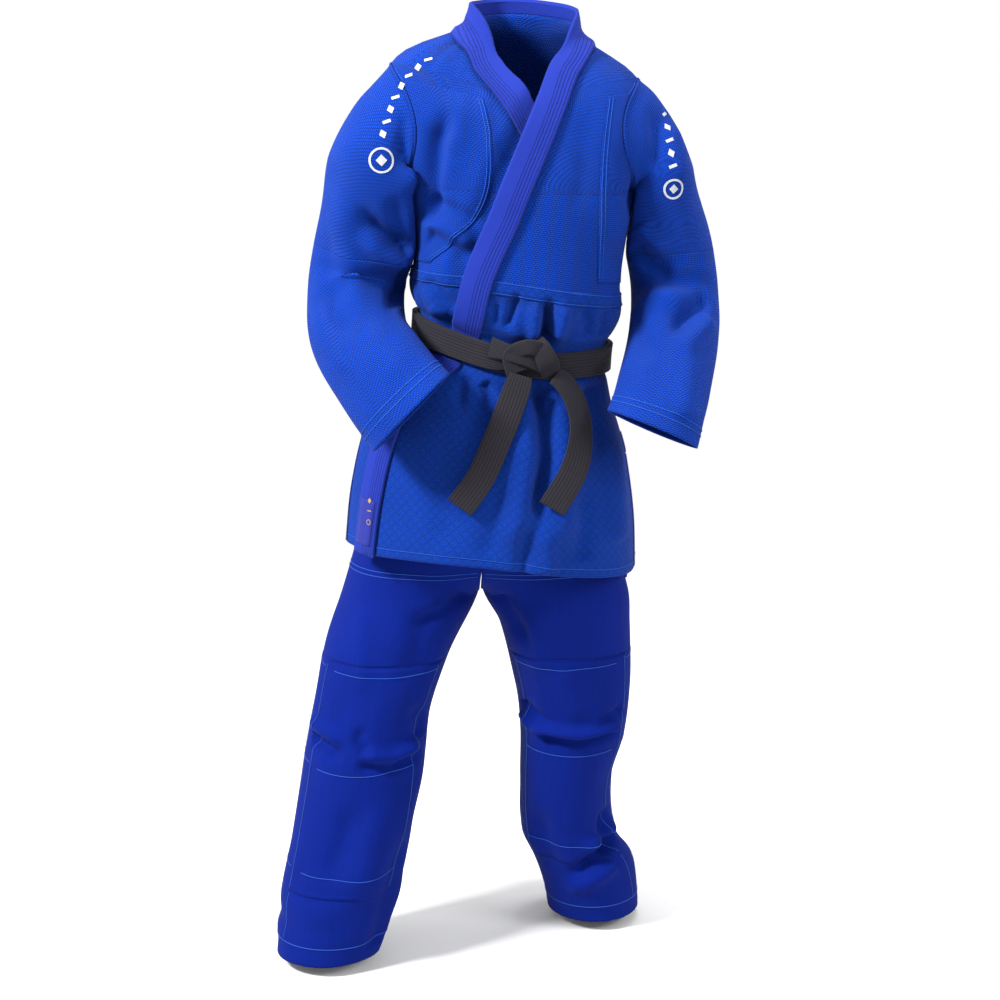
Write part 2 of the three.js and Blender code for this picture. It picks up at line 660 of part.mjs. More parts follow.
// ---- trousers: waistband, seat, legs ----
const WAISTBAND = { top: 1038, height: 42 };
const legAt = (low, high) => (r, c) => [mix(-180, 180, c) * DEG, mix(low, high, r)];
for (const [name, leg] of Object.entries(LEGS)) {
  const surface = trouser(leg);
  const fromHips = (p) => vec(p.x - HIPS(p.z)[3], p.y, 0);
  const fromLeg = (p) => vec(p.x - leg.axis(p.z)[0], p.y - leg.axis(p.z)[1], 0);
  const seam = 0.6; // degrees left open at the centre seams
  const seatAt = (low, high) => (r, c) => [mix(-180 + seam, 180 - seam, c) * DEG, mix(low, high, r)];
  const seatAbove = seatAt(CROTCH.riseFrom, WAISTBAND.top - WAISTBAND.height - 1);
  add(`${name}_seat`, clothOn(surface, fromHips, seatAbove, 5, 14, TROUSER_CLOTH), TROUSER);
  const bandAt = seatAt(WAISTBAND.top - WAISTBAND.height, WAISTBAND.top);
  add(`${name}_waistband`, clothOn(surface, fromHips, bandAt, 1, 12, 3), TROUSER);
  const tube = (part, low, high, rows, cloth, lift = 0) => {
    const geometry = clothOn(surface, fromLeg, legAt(low, high), rows, 18, cloth, { ringed: true, lift });
    add(`${name}_${part}`, geometry, TROUSER);
  };
  tube("hip", 570, CROTCH.riseFrom - 2, 8, TROUSER_CLOTH);
  tube("thigh", 500, 568, 2, TROUSER_CLOTH);
  tube("knee", 332, 498, 5, TROUSER_CLOTH);
  tube("shin", 62, 330, 6, TROUSER_CLOTH);
  const patchAt = (r, c) => [(-90 + mix(-62, 62, c)) * DEG, mix(140, 560, r)];
  const patch = clothOn(surface, fromLeg, patchAt, 10, 6, 1.2, { lift: 3.8 });
  add(`${name}_knee_patch`, patch, TROUSER);
  tube("trouser_hem", 20, 60, 1, TROUSER_CLOTH + 1);
}

export default root;
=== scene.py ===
"""Looks for a blue judo uniform in its worn shape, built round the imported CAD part.

Shapes are worked out in millimetres, with heights above the wearer's floor, and turned into the
frame's metres when a mesh is made. A surface is a function of two coordinates; folds push it
along its normal. The wearer faces -Y, so the wearer's right side is at -X.
"""

import math

import bpy
import numpy as np
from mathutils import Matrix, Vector


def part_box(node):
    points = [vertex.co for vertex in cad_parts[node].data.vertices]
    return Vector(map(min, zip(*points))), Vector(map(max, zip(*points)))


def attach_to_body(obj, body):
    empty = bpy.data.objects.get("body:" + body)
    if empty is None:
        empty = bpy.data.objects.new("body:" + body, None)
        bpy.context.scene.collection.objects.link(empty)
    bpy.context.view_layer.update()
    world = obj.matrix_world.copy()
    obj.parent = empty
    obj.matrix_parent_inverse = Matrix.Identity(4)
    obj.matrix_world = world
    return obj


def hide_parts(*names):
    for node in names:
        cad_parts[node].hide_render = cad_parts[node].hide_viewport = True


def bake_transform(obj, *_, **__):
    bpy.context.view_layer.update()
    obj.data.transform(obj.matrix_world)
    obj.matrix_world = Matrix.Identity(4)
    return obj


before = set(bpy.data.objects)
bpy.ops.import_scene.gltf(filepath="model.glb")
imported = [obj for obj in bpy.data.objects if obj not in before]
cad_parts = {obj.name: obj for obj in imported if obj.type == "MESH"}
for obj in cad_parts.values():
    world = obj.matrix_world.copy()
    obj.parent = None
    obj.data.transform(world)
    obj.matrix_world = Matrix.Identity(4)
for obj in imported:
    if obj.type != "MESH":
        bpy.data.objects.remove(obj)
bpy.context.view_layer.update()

COARSE = 1
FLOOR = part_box("right_trouser_hem")[0][2] - 0.020  # the hem hangs 20 mm above the wearer's floor
NECK_HEIGHT = -1000 * FLOOR
BELT_MID = 1000 * (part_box("belt_outer_wrap")[0][2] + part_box("belt_outer_wrap")[1][2]) / 2 + NECK_HEIGHT
BELT_LEVEL = 1062  # the middle of the belt at the wearer's sides
BELT_WIDTH, BELT_CLOTH = 45, 4.4
DEG = math.pi / 180


# ---- small tools ----
def smooth(low, high, x):
    t = np.clip((np.asarray(x, float) - low) / (high - low), 0, 1)
    return t * t * (3 - 2 * t)


def mix(a, b, t):
    return a + (b - a) * t


def unit(v):
    return v / np.maximum(np.linalg.norm(v, axis=-1, keepdims=True), 1e-9)


def profile(*rows):
    """Smooth values through given rows (key, value, value, ...), sorted by key."""
    table = np.array(rows, float)
    keys, values = table[:, 0], table[:, 1:]
    index = np.arange(len(keys))
    before, after = np.maximum(index - 1, 0), np.minimum(index + 1, len(keys) - 1)
    slopes = (values[after] - values[before]) / (keys[after] - keys[before])[:, None]

    def at(key):
        key = np.asarray(key, float)
        k = np.clip(np.searchsorted(keys, key, side="right") - 1, 0, len(keys) - 2)
        span = (keys[k + 1] - keys[k])[..., None]
        t = np.clip((key - keys[k])[..., None] / span, 0, 1)
        t2, t3 = t**2, t**3
        start = (2 * t3 - 3 * t2 + 1) * values[k] + (t3 - 2 * t2 + t) * slopes[k] * span
        end = (3 * t2 - 2 * t3) * values[k + 1] + (t3 - t2) * slopes[k + 1] * span
        return np.moveaxis(start + end, -1, 0)

    return at


def noise(x, y, seed, wrap=64):
    """Smooth noise from -1 to 1 with bumps about one unit apart; x repeats after `wrap` units."""
    lattice = np.random.default_rng(seed).uniform(-1, 1, (wrap, 64))
    x, y = np.broadcast_arrays(np.asarray(x, float), np.asarray(y, float))
    ix, iy = np.floor(x).astype(int), np.floor(y).astype(int)
    fx, fy = x - ix, y - iy
    fx, fy = fx * fx * (3 - 2 * fx), fy * fy * (3 - 2 * fy)
    corner = lambda i, j: lattice[(ix + i) % wrap, (iy + j) % 64]
    low = mix(corner(0, 0), corner(1, 0), fx)
    high = mix(corner(0, 1), corner(1, 1), fx)
    return mix(low, high, fy)


def rolls(x, y, seed, wrap=64):
    """Rounded rolls with soft creases between them, from about -0.5 to 0.5."""
    n = noise(x, y, seed, wrap)
    return np.sqrt(n * n + 0.01) * 1.6 - 0.55


def normals(surface, u, v, du, dv, flip=1):
    along_u = surface(u + du, v) - surface(u - du, v)
    along_v = surface(u, v + dv) - surface(u, v - dv)
    return unit(np.cross(along_u, along_v)) * flip


# A fold is a line of points in a flat view (mm) with a height, a width and a lean: the height is
# negative for a valley, and a lean makes one flank steeper.
def fold_height(place, points, height, width, lean=0.0, ends=(0.3, 0.3)):
    points = np.array(points, float)
    best = np.full(place.shape[:-1], 1e9)
    side, along = np.zeros_like(best), np.zeros_like(best)
    lengths = np.linalg.norm(np.diff(points, axis=0), axis=1)
    done = np.concatenate([[0], np.cumsum(lengths)])
    for k, length in enumerate(lengths):
        a, direction = points[k], (points[k + 1] - points[k]) / length
        rel = place - a
        t = np.clip(rel @ direction, 0, length)
        gap = rel - t[..., None] * direction
        distance = np.linalg.norm(gap, axis=-1)
        nearer = distance < best
        best = np.where(nearer, distance, best)
        turn = direction[0] * rel[..., 1] - direction[1] * rel[..., 0]
        side = np.where(nearer, np.sign(turn), side)
        along = np.where(nearer, (done[k] + t) / done[-1], along)
    taper = smooth(0, max(ends[0], 1e-3), along) * smooth(0, max(ends[1], 1e-3), 1 - along)
    x = best / width
    return height * taper * np.exp(-x * x) * (1 + lean * side * x)


FOLD_DEPTH = 1.65


def view_folds(point, normal, folds, facing):
    """Heights of folds drawn in the view from the front (facing -1) or the back (facing 1)."""
    place = point[..., (0, 2)]
    seen = smooth(0.02, 0.45, facing * normal[..., 1])
    return FOLD_DEPTH * seen * sum(fold_height(place, *fold) for fold in folds)


# ---- the jacket's trunk ----
TRUNK = profile(
    (700, 240, 186, 168, -48, 0, 15, 0, 22),
    (800, 232, 184, 158, -44, 0, 12, 0, 24),
    (900, 212, 170, 144, -40, -2, 6, 0, 25),
    (960, 188, 152, 128, -34, -4, -4, 2, 26),
    (1000, 168, 136, 114, -26, -6, -12, 5, 26),
    (1038, 152, 126, 106, -18, -7, -19, 8, 26),
    (1062, 150, 124, 105, -16, -7, -22, 10, 26),
    (1086, 152, 126, 107, -14, -7, -20, 10, 26),
    (1118, 165, 142, 120, -11, -6, -9, 6, 25),
    (1150, 168, 147, 126, -9, -5, 6, 2, 23),
    (1200, 168, 148, 130, -5, -3, 6, 0, 15),
    (1260, 177, 149, 134, -3, -1, 0, 0, 6),
    (1300, 186, 148, 137, -3, 0, 0, 0, 6),
    (1360, 199, 142, 137, -5, 3, -8, 10, 8),
    (1420, 207, 134, 132, -8, 6, -20, 12, 10),
    (1465, 206, 120, 122, -10, 8, -29, 14, 11),
    (1500, 182, 104, 108, -12, 9, -38, 14, 12),
    (1525, 138, 88, 95, -8, 10, -43, 10, 10),
    (1545, 94, 74, 82, -2, 10, -48, 6, 6),
    (1570, 82, 66, 76, 0, 12, -40, 4, 2),
    (1600, 76, 62, 72, 0, 14, -36, 2, 0),
)
SQUARENESS = 2.3
WAIST_SEAM, NECK_LEVEL, HEM_LEVEL, VENT_LEVEL = 1150, 1532, 705, 905
JACKET_CLOTH = 2.6


def trunk(angle, level):
    """Angle 0 is the front, 90 degrees the wearer's left side, 180 the back."""
    angle, level = np.broadcast_arrays(np.asarray(angle, float), np.asarray(level, float))
    wide, front, back, cx, cy, rise_front, rise_back, tilt = TRUNK(level)
    s, c = np.sin(angle), np.cos(angle)
    deep, rise = np.where(c > 0, front, back), np.where(c > 0, rise_front, rise_back)
    radius = (np.abs(s / wide) ** SQUARENESS + np.abs(c / deep) ** SQUARENESS) ** (-1 / SQUARENESS)
    return np.stack([cx + radius * s, cy - radius * c, level + rise * c * c - tilt * s], -1)


def trunk_normal(angle, level):
    return normals(trunk, angle, level, 1e-3, 1e-2)


def angle_at(x, level):
    wide, front, _, cx = TRUNK(level)[:4]
    share = np.minimum(0.995, np.abs(x - cx) / wide)
    return np.arctan2(x - cx, front * (1 - share**SQUARENESS) ** (1 / SQUARENESS))


LEFT_LAPEL = profile(
    (700, -250), (800, -236), (900, -212), (960, -182), (1000, -150), (1040, -112), (1086, -88),
    (1118, -79), (1150, -70), (1200, -53), (1300, -14), (1360, 7), (1420, 27), (1465, 42), (1500, 54),
)
RIGHT_LAPEL = profile(
    (700, 190), (900, 148), (1062, 104), (1118, 100), (1200, 88), (1300, 64), (1360, 44),
    (1420, 20), (1465, -4), (1510, -28),
)
UNDER = -13.0  # how far the right front lies under the left one


def lapel_angle(side, level):
    return angle_at((LEFT_LAPEL if side > 0 else RIGHT_LAPEL)(level)[0], level)


def underlap(angle, level):
    edge = lapel_angle(1, np.minimum(level, 1500))
    inside = smooth(-26 * DEG, -10 * DEG, angle - edge)
    return UNDER * inside * (1 - smooth(1478, 1505, level))


# Folds of the jacket as the front view shows them: points (x, z), height, width, lean, ends.
JACKET_FRONT_FOLDS = [
    ([(-150, 1262), (-118, 1250), (-78, 1218)], 7, 13, 0.0, (0.1, 0.2)),
    ([(-160, 1288), (-110, 1274), (-62, 1250)], -7, 12, 0.3, (0.1, 0.3)),
    ([(-150, 1236), (-110, 1216), (-85, 1196)], -5, 14, 0.0, (0.1, 0.3)),
    ([(-104, 1440), (-134, 1385), (-146, 1320), (-152, 1250)], -13, 15, 0.3, (0.3, 0.1)),
    ([(-92, 1470), (-98, 1420), (-112, 1360), (-118, 1300)], 5, 20, 0.0, (0.3, 0.3)),
    ([(-64, 1470), (-52, 1400), (-38, 1340)], 3, 10, 0.0, (0.3, 0.3)),
    ([(180, 1460), (200, 1420), (188, 1330), (168, 1250)], -9, 13, -0.3, (0.3, 0.2)),
    ([(150, 1450), (150, 1380), (140, 1280), (120, 1200)], 4, 26, 0.0, (0.3, 0.3)),
    ([(90, 1440), (96, 1360), (84, 1260)], -2.5, 16, 0.0, (0.3, 0.3)),
    # the blouse over the belt
    ([(36, 1146), (40, 1120), (34, 1076)], -17, 9, 0.2, (0.35, 0.0)),
    ([(62, 1140), (60, 1110), (48, 1080)], 9, 13, 0.0, (0.3, 0.1)),
    ([(14, 1140), (18, 1112), (20, 1080)], 8, 12, 0.0, (0.3, 0.1)),
    ([(-6, 1152), (-14, 1130), (-26, 1096)], -8, 7, 0.0, (0.2, 0.2)),
    ([(-40, 1140), (-44, 1100)], -4, 7, 0.0, (0.2, 0.2)),
    ([(92, 1130), (104, 1100), (100, 1078)], -6, 9, 0.0, (0.3, 0.1)),
    ([(124, 1120), (128, 1080)], -5, 8, 0.0, (0.3, 0.1)),
    ([(-152, 1170), (-128, 1140), (-108, 1118)], -6, 9, 0.3, (0.2, 0.2)),
    ([(-140, 1130), (-120, 1110)], 5, 8, 0.0, (0.3, 0.3)),
    # the skirt below the belt
    ([(30, 1012), (36, 960), (42, 900), (30, 840), (22, 770)], -15, 14, -0.4, (0.1, 0.35)),
    ([(66, 1000), (70, 930), (72, 850), (60, 740)], 8, 26, 0.0, (0.15, 0.2)),
    ([(0, 1000), (4, 930), (0, 850), (-14, 740)], 7, 26, 0.0, (0.15, 0.2)),
    ([(10, 800), (4, 745), (0, 712)], -7, 11, 0.0, (0.3, 0.0)),
    ([(34, 790), (40, 740), (44, 712)], 5, 14, 0.0, (0.4, 0.0)),
    ([(-60, 1012), (-52, 986), (-50, 962)], -6, 8, 0.0, (0.1, 0.5)),
    ([(-92, 1020), (-98, 990), (-92, 955)], -5, 9, 0.0, (0.1, 0.5)),
    ([(104, 1000), (118, 950), (126, 880)], -7, 15, 0.3, (0.1, 0.4)),
    ([(140, 940), (152, 860), (158, 740)], 5, 18, 0.0, (0.3, 0.1)),
    ([(-120, 960), (-126, 860), (-120, 740)], -3, 24, 0.0, (0.3, 0.2)),
    ([(-40, 960), (-64, 890), (-96, 830)], 4, 20, 0.0, (0.3, 0.4)),
    ([(-30, 880), (-40, 800), (-60, 730)], -4, 18, 0.0, (0.4, 0.2)),
    ([(84, 870), (96, 790), (92, 720)], -5, 16, 0.2, (0.4, 0.1)),
    ([(-90, 1050), (-60, 1018), (-20, 1006)], 3, 8, 0.0, (0.3, 0.3)),
]
JACKET_BACK_FOLDS = [
    ([(-150, 1330), (-60, 1290), (30, 1275)], 5, 22, 0.0, (0.2, 0.4)),
    ([(150, 1330), (70, 1300), (0, 1290)], 5, 22, 0.0, (0.2, 0.4)),
    ([(-120, 1140), (-110, 1090)], -7, 12, 0.0, (0.3, 0.1)),
    ([(-60, 1145), (-50, 1085)], -9, 12, 0.0, (0.3, 0.1)),
    ([(10, 1140), (2, 1085)], -7, 11, 0.0, (0.3, 0.1)),
    ([(60, 1145), (58, 1085)], -8, 12, 0.0, (0.3, 0.1)),
    ([(-90, 1010), (-104, 900), (-112, 740)], -10, 20, 0.2, (0.1, 0.2)),
    ([(-30, 1010), (-30, 900), (-40, 740)], 8, 26, 0.0, (0.1, 0.2)),
    ([(30, 1010), (40, 880), (44, 730)], -9, 22, -0.2, (0.1, 0.2)),
    ([(92, 1000), (110, 880), (120, 730)], 7, 24, 0.0, (0.1, 0.2)),
]


def jacket(angle, level, lift=0.0):
    """Points of the jacket cloth's outer face, folds included."""
    point, normal = trunk(angle, level), trunk_normal(angle, level)
    height = view_folds(point, normal, JACKET_FRONT_FOLDS, -1)
    height = height + view_folds(point, normal, JACKET_BACK_FOLDS, 1)
    around = np.asarray(angle) / (2 * math.pi)
    away = smooth(30, 95, np.abs(point[..., 2] - BELT_MID + 24 * np.cos(angle)))
    free = smooth(WAIST_SEAM, BELT_MID - 60, level)
    height = height + away * free * 4.0 * noise(around * 18, level / 380, 3, 18)
    height = height + 3.2 * smooth(1110, 1200, level) * noise(around * 12, level / 95, 5, 12)
    above = smooth(1086, 1104, level) * (1 - smooth(1125, 1170, level))
    height = height + above * (4 + 4.5 * rolls(around * 26, level / 90, 9, 26))
    beneath = smooth(950, 1000, level) * (1 - smooth(1020, 1040, level))
    height = height + beneath * 3.5 * rolls(around * 24, level / 80, 11, 24)
    pressed = 1 - smooth(24, 34, np.abs(level - BELT_LEVEL))
    height = height * (1 - pressed)
    return point + normal * (height + lift)[..., None]


# ---- sleeves ----
ARMHOLE_LEVEL, ARMHOLE_HIGH, ARMHOLE_WIDE = 1396, 92, 32 * DEG


def armhole_cut(level):
    t = (level - ARMHOLE_LEVEL) / ARMHOLE_HIGH
    return ARMHOLE_WIDE * np.sqrt(np.clip(1 - t * t, 0, 1))


SLEEVES = {
    "right": (
        -1,
        profile(
            (0, -188, 6, 1418, 84, 84), (0.07, -208, -6, 1386, 80, 90), (0.14, -236, -22, 1345, 70, 92),
            (0.27, -244, -24, 1278, 74, 86), (0.4, -252, -10, 1206, 82, 82), (0.53, -265, -8, 1140, 79, 77),
            (0.68, -260, -70, 1078, 77, 68), (0.84, -225, -150, 1028, 79, 58), (1, -170, -206, 974, 84, 52),
        ),
    ),
    "left": (
        1,
        profile(
            (0, 184, 8, 1402, 82, 84), (0.07, 205, 10, 1374, 66, 88), (0.14, 226, 14, 1335, 52, 92),
            (0.27, 237, 22, 1268, 55, 88), (0.4, 245, 27, 1196, 66, 82), (0.53, 250, 12, 1128, 70, 77),
            (0.68, 242, -44, 1062, 72, 70), (0.84, 228, -112, 1000, 75, 60), (1, 203, -166, 940, 78, 52),
        ),
    ),
}


def clear_of_trunk(point, gap):
    cx, cy = TRUNK(point[..., 2])[3:5]
    out = np.stack([point[..., 0] - cx, point[..., 1] - cy, np.zeros_like(cx)], -1)
    angle = np.arctan2(out[..., 0], -out[..., 1])
    c, level = np.cos(angle), point[..., 2]
    for _ in range(4):
        rise_front, rise_back, tilt = TRUNK(level)[5:]
        level = point[..., 2] - np.where(c > 0, rise_front, rise_back) * c * c + tilt * np.sin(angle)
    wall = trunk(angle, level)
    wcx, wcy = TRUNK(wall[..., 2])[3:5]
    reach = np.hypot(wall[..., 0] - wcx, wall[..., 1] - wcy)
    short = np.maximum(reach + gap - np.hypot(out[..., 0], out[..., 1]), 0)
    return point + unit(out) * short[..., None]


INNER_TURN, INNER_FULL = 50 * DEG, 24.0  # the sleeve is fuller where it rests against the chest
CUFF_SLANT = 26  # the front of the cuff hangs lower than its back


def bare_sleeve(name):
    side, axis = SLEEVES[name]

    def surface(turn, s):
        turn, s = np.broadcast_arrays(np.asarray(turn, float), np.asarray(s, float))
        x, y, z, wide, deep = axis(s)
        centre = np.stack([x, y, z], -1)
        reach = 0.01 + 0.12 * smooth(0.2, 0.36, s)  # rings turn gradually round the elbow
        ahead, behind = axis(np.minimum(s + reach, 1)), axis(np.maximum(s - reach, 0))
        along = unit(np.stack(ahead[:3] - behind[:3], -1))
        across = unit(np.cross(along, (0, 1, 0)))
        forward = unit(np.cross(along, across))
        ring = centre + across * (wide * np.cos(turn))[..., None] + forward * (deep * np.sin(turn))[..., None]
        level = ARMHOLE_LEVEL + side * ARMHOLE_HIGH * np.cos(turn)
        angle = side * (90 * DEG - ARMHOLE_WIDE * np.sin(turn))
        sewn = trunk(angle, level) + along * (s * 500)[..., None]
        point = mix(sewn, ring, smooth(0, 0.16, s)[..., None])
        inner = turn if side < 0 else math.pi - turn
        nearest = np.exp(-((np.mod(inner - INNER_TURN + math.pi, 2 * math.pi) - math.pi) ** 2) / 0.5)
        point[..., 0] -= side * INNER_FULL * nearest * smooth(0.08, 0.2, s) * (1 - smooth(0.36, 0.54, s))
        cleared = clear_of_trunk(point, 0.4 + 7 * smooth(0, 0.07, s))
        point = mix(cleared, point, smooth(0.45, 0.62, s)[..., None])
        slant = CUFF_SLANT * smooth(0.72, 1, s) * np.sin(turn)
        return point + along * slant[..., None]

    return surface


SLEEVE_FOLDS = {
    "right": [
        # crease where the sleeve turns over the chest, and the drag lines from the armpit
        ([(-158, 1468), (-150, 1410), (-160, 1350), (-170, 1290)], 9, 20, 0.0, (0.3, 0.2)),
        ([(-176, 1440), (-180, 1380), (-186, 1330)], -6, 14, 0.0, (0.3, 0.4)),
        ([(-262, 1285), (-242, 1258), (-200, 1222), (-168, 1204)], -12, 12, 0.3, (0.4, 0.1)),
        ([(-258, 1246), (-222, 1208), (-180, 1182)], 8, 15, 0.0, (0.4, 0.1)),
        ([(-205, 1300), (-190, 1250), (-180, 1215)], -7, 12, 0.0, (0.3, 0.1)),
        ([(-290, 1330), (-284, 1240), (-268, 1150), (-246, 1080)], 7, 22, 0.3, (0.3, 0.3)),
        ([(-310, 1250), (-312, 1180), (-300, 1110)], -5, 22, 0.0, (0.3, 0.3)),
        ([(-180, 1190), (-190, 1150), (-215, 1110)], -9, 13, 0.2, (0.1, 0.4)),
        ([(-150, 1170), (-160, 1130), (-180, 1090)], 7, 14, 0.0, (0.2, 0.4)),
        ([(-300, 1170), (-290, 1120), (-262, 1080)], -5, 18, 0.0, (0.3, 0.3)),
        ([(-322, 1130), (-304, 1070), (-270, 1020)], 4, 20, 0.0, (0.3, 0.3)),
        ([(-250, 1110), (-220, 1060), (-170, 1030)], 4, 24, 0.0, (0.3, 0.3)),
    ],
    "left": [
        ([(206, 1440), (210, 1380), (204, 1320)], -6, 12, 0.0, (0.3, 0.3)),
        ([(232, 1420), (246, 1360), (250, 1300)], 4, 18, 0.0, (0.3, 0.3)),
        ([(186, 1250), (210, 1220), (240, 1200)], 6, 14, 0.0, (0.1, 0.4)),
        ([(178, 1215), (205, 1180), (250, 1170)], -8, 14, 0.2, (0.1, 0.4)),
        ([(190, 1164), (220, 1140), (270, 1130)], 6, 18, 0.0, (0.3, 0.4)),
        ([(300, 1140), (262, 1110), (226, 1082)], -10, 15, 0.3, (0.2, 0.35)),
        ([(304, 1104), (270, 1080), (236, 1050)], 8, 18, 0.0, (0.2, 0.4)),
        ([(176, 1120), (190, 1080), (200, 1040)], -5, 14, 0.0, (0.2, 0.4)),
        ([(262, 1070), (254, 1010), (246, 960)], 4, 22, 0.0, (0.3, 0.1)),
    ],
}
ELBOW_BACK_FOLDS = [
    ([(-330, 1160), (-280, 1140), (-220, 1150)], 6, 16, 0.0, (0.3, 0.3)),
    ([(-330, 1130), (-280, 1106), (-220, 1112)], -6, 13, 0.0, (0.3, 0.3)),
    ([(320, 1150), (270, 1128), (200, 1140)], 6, 16, 0.0, (0.3, 0.3)),
    ([(320, 1118), (270, 1096), (200, 1104)], -6, 13, 0.0, (0.3, 0.3)),
]


def sleeve(name):
    bare, side = bare_sleeve(name), SLEEVES[name][0]
    seed = 21 if name == "right" else 31

    def surface(turn, s, lift=0.0):
        point = bare(turn, s)
        normal = normals(bare, turn, np.clip(s, 0.0015, 0.9985), 1e-3, 1e-3)
        height = view_folds(point, normal, SLEEVE_FOLDS[name], -1)
        height = height + view_folds(point, normal, ELBOW_BACK_FOLDS, 1)
        around = np.asarray(turn) / (2 * math.pi)
        height = height + 5.0 * noise(around * 5, np.asarray(s) * 6, seed, 5)
        bend = np.exp(-(((np.asarray(s) - 0.56) / 0.13) ** 2))
        inside = smooth(-0.2, 0.8, np.sin(turn))
        height = height + bend * inside * 5 * noise(around * 4, np.asarray(s) * 13, seed + 1, 4)
        height = height * smooth(0.0, 0.06, s) * (1 - 0.7 * smooth(0.9, 1, s))
        level = ARMHOLE_LEVEL + side * ARMHOLE_HIGH * np.cos(turn)
        angle = side * (90 * DEG - ARMHOLE_WIDE * np.sin(turn))
        sewn = (jacket(angle, level) - trunk(angle, level)) * (1 - smooth(0, 0.1, s))[..., None]
        return point + sewn + normal * (height + lift)[..., None]

    return surface


# ---- trousers ----
CROTCH_Z, RISE_FROM = 640, 800
LEGS = {
    "right": (
        -1,
        profile(
            (20, -330, -62, 86, 84), (70, -318, -56, 95, 88), (170, -297, -46, 101, 92),
            (300, -273, -34, 103, 95), (370, -264, -28, 101, 98), (443, -253, -20, 99, 100),
            (530, -229, -10, 106, 106), (640, -185, 0, 116, 112), (800, -160, 4, 112, 118),
            (1040, -110, 0, 80, 100),
        ),
    ),
    "left": (
        1,
        profile(
            (20, 134, 126, 80, 84), (70, 126, 120, 84, 88), (120, 108, 112, 86, 90),
            (170, 86, 104, 84, 92), (280, 80, 84, 82, 95), (370, 90, 66, 92, 98), (460, 90, 48, 97, 100),
            (580, 74, 22, 112, 108), (640, 60, 10, 126, 112), (800, 40, 4, 112, 118),
            (1040, 40, 0, 80, 100),
        ),
    ),
}
HIPS = profile(
    (600, 222, 128, 134, -68), (640, 218, 132, 138, -68), (700, 208, 136, 140, -64),
    (800, 196, 140, 134, -54), (900, 184, 132, 122, -42), (980, 158, 112, 106, -36),
    (1040, 138, 100, 92, -33),
)


def bare_leg(name):
    side, axis = LEGS[name]

    def surface(turn, level):
        turn, level = np.broadcast_arrays(np.asarray(turn, float), np.asarray(level, float))
        wide, front, back, seam_x = HIPS(level)
        across, along = np.cos(turn / 2), np.sin(turn / 2)
        deep = np.where(turn < 0, front, back)
        hip_x = seam_x + side * wide * np.maximum(across, 0) ** 0.86
        hip_y = deep * np.sign(along) * np.abs(along) ** 0.86
        cx, cy, half, thick = axis(level)
        t = np.clip((RISE_FROM - level) / (RISE_FROM - CROTCH_Z), 0, 1)
        inseam = smooth(60 * DEG, 140 * DEG, np.abs(turn))
        closed = mix(1 - smooth(560, 860, level), 1 - np.sqrt(1 - t * t), inseam)
        x = mix(hip_x, cx + side * half * np.cos(turn), closed)
        y = mix(hip_y, cy + thick * np.sin(turn), closed)
        own_side = seam_x + side * np.maximum(side * (x - seam_x), 0.5)
        return np.stack([np.where(level > CROTCH_Z - 30, own_side, x), y, level], -1)

    return surface


LEG_FOLDS = {
    "right": [
        ([(-262, 392), (-215, 381), (-168, 392)], 10, 11, 0.3, (0.2, 0.2)),
        ([(-275, 372), (-215, 360), (-165, 374)], -6, 9, 0.0, (0.2, 0.2)),
        ([(-262, 440), (-268, 410), (-255, 392)], -5, 9, 0.0, (0.4, 0.1)),
        ([(-185, 470), (-170, 430), (-172, 400)], -5, 12, 0.0, (0.4, 0.1)),
        ([(-350, 402), (-320, 396), (-290, 380)], -9, 10, 0.0, (0.0, 0.4)),
        ([(-348, 425), (-318, 418), (-290, 400)], 6, 12, 0.0, (0.0, 0.4)),
        ([(-270, 320), (-300, 230), (-335, 140)], -6, 26, 0.3, (0.3, 0.3)),
        ([(-230, 330), (-250, 220), (-280, 110)], 6, 30, 0.0, (0.3, 0.3)),
        ([(-190, 250), (-220, 140), (-240, 40)], -5, 16, 0.0, (0.3, 0.0)),
        ([(-255, 640), (-262, 560), (-262, 480)], 3, 16, 0.0, (0.2, 0.3)),
        ([(-150, 640), (-172, 560), (-186, 500)], -4, 20, 0.0, (0.2, 0.3)),
        ([(-85, 655), (-140, 622), (-200, 600)], -5, 12, 0.2, (0.1, 0.5)),
    ],
    "left": [
        ([(22, 402), (98, 395), (170, 403)], 9, 10, 0.3, (0.1, 0.1)),
        ([(26, 384), (98, 376), (168, 388)], -6, 8, 0.0, (0.1, 0.1)),
        ([(4, 440), (30, 420), (60, 404)], -6, 9, 0.0, (0.0, 0.4)),
        ([(2, 412), (20, 398), (50, 392)], 6, 8, 0.0, (0.0, 0.4)),
        ([(172, 430), (140, 416), (120, 400)], -5, 9, 0.0, (0.1, 0.4)),
        ([(60, 540), (80, 470), (110, 410)], 4, 20, 0.0, (0.3, 0.3)),
        ([(150, 240), (140, 190), (152, 140)], -9, 10, 0.4, (0.3, 0.1)),
        ([(165, 170), (120, 145), (80, 110)], -12, 12, 0.4, (0.0, 0.4)),
        ([(170, 190), (130, 175), (96, 160)], 8, 13, 0.0, (0.0, 0.4)),
        ([(160, 128), (120, 104), (70, 80)], 7, 16, 0.0, (0.0, 0.4)),
        ([(30, 250), (40, 180), (62, 110)], -5, 20, 0.0, (0.3, 0.3)),
        ([(-40, 652), (-10, 600), (20, 540)], -6, 12, 0.2, (0.1, 0.4)),
        ([(20, 640), (26, 570), (38, 500)], 3, 16, 0.0, (0.3, 0.3)),
    ],
}
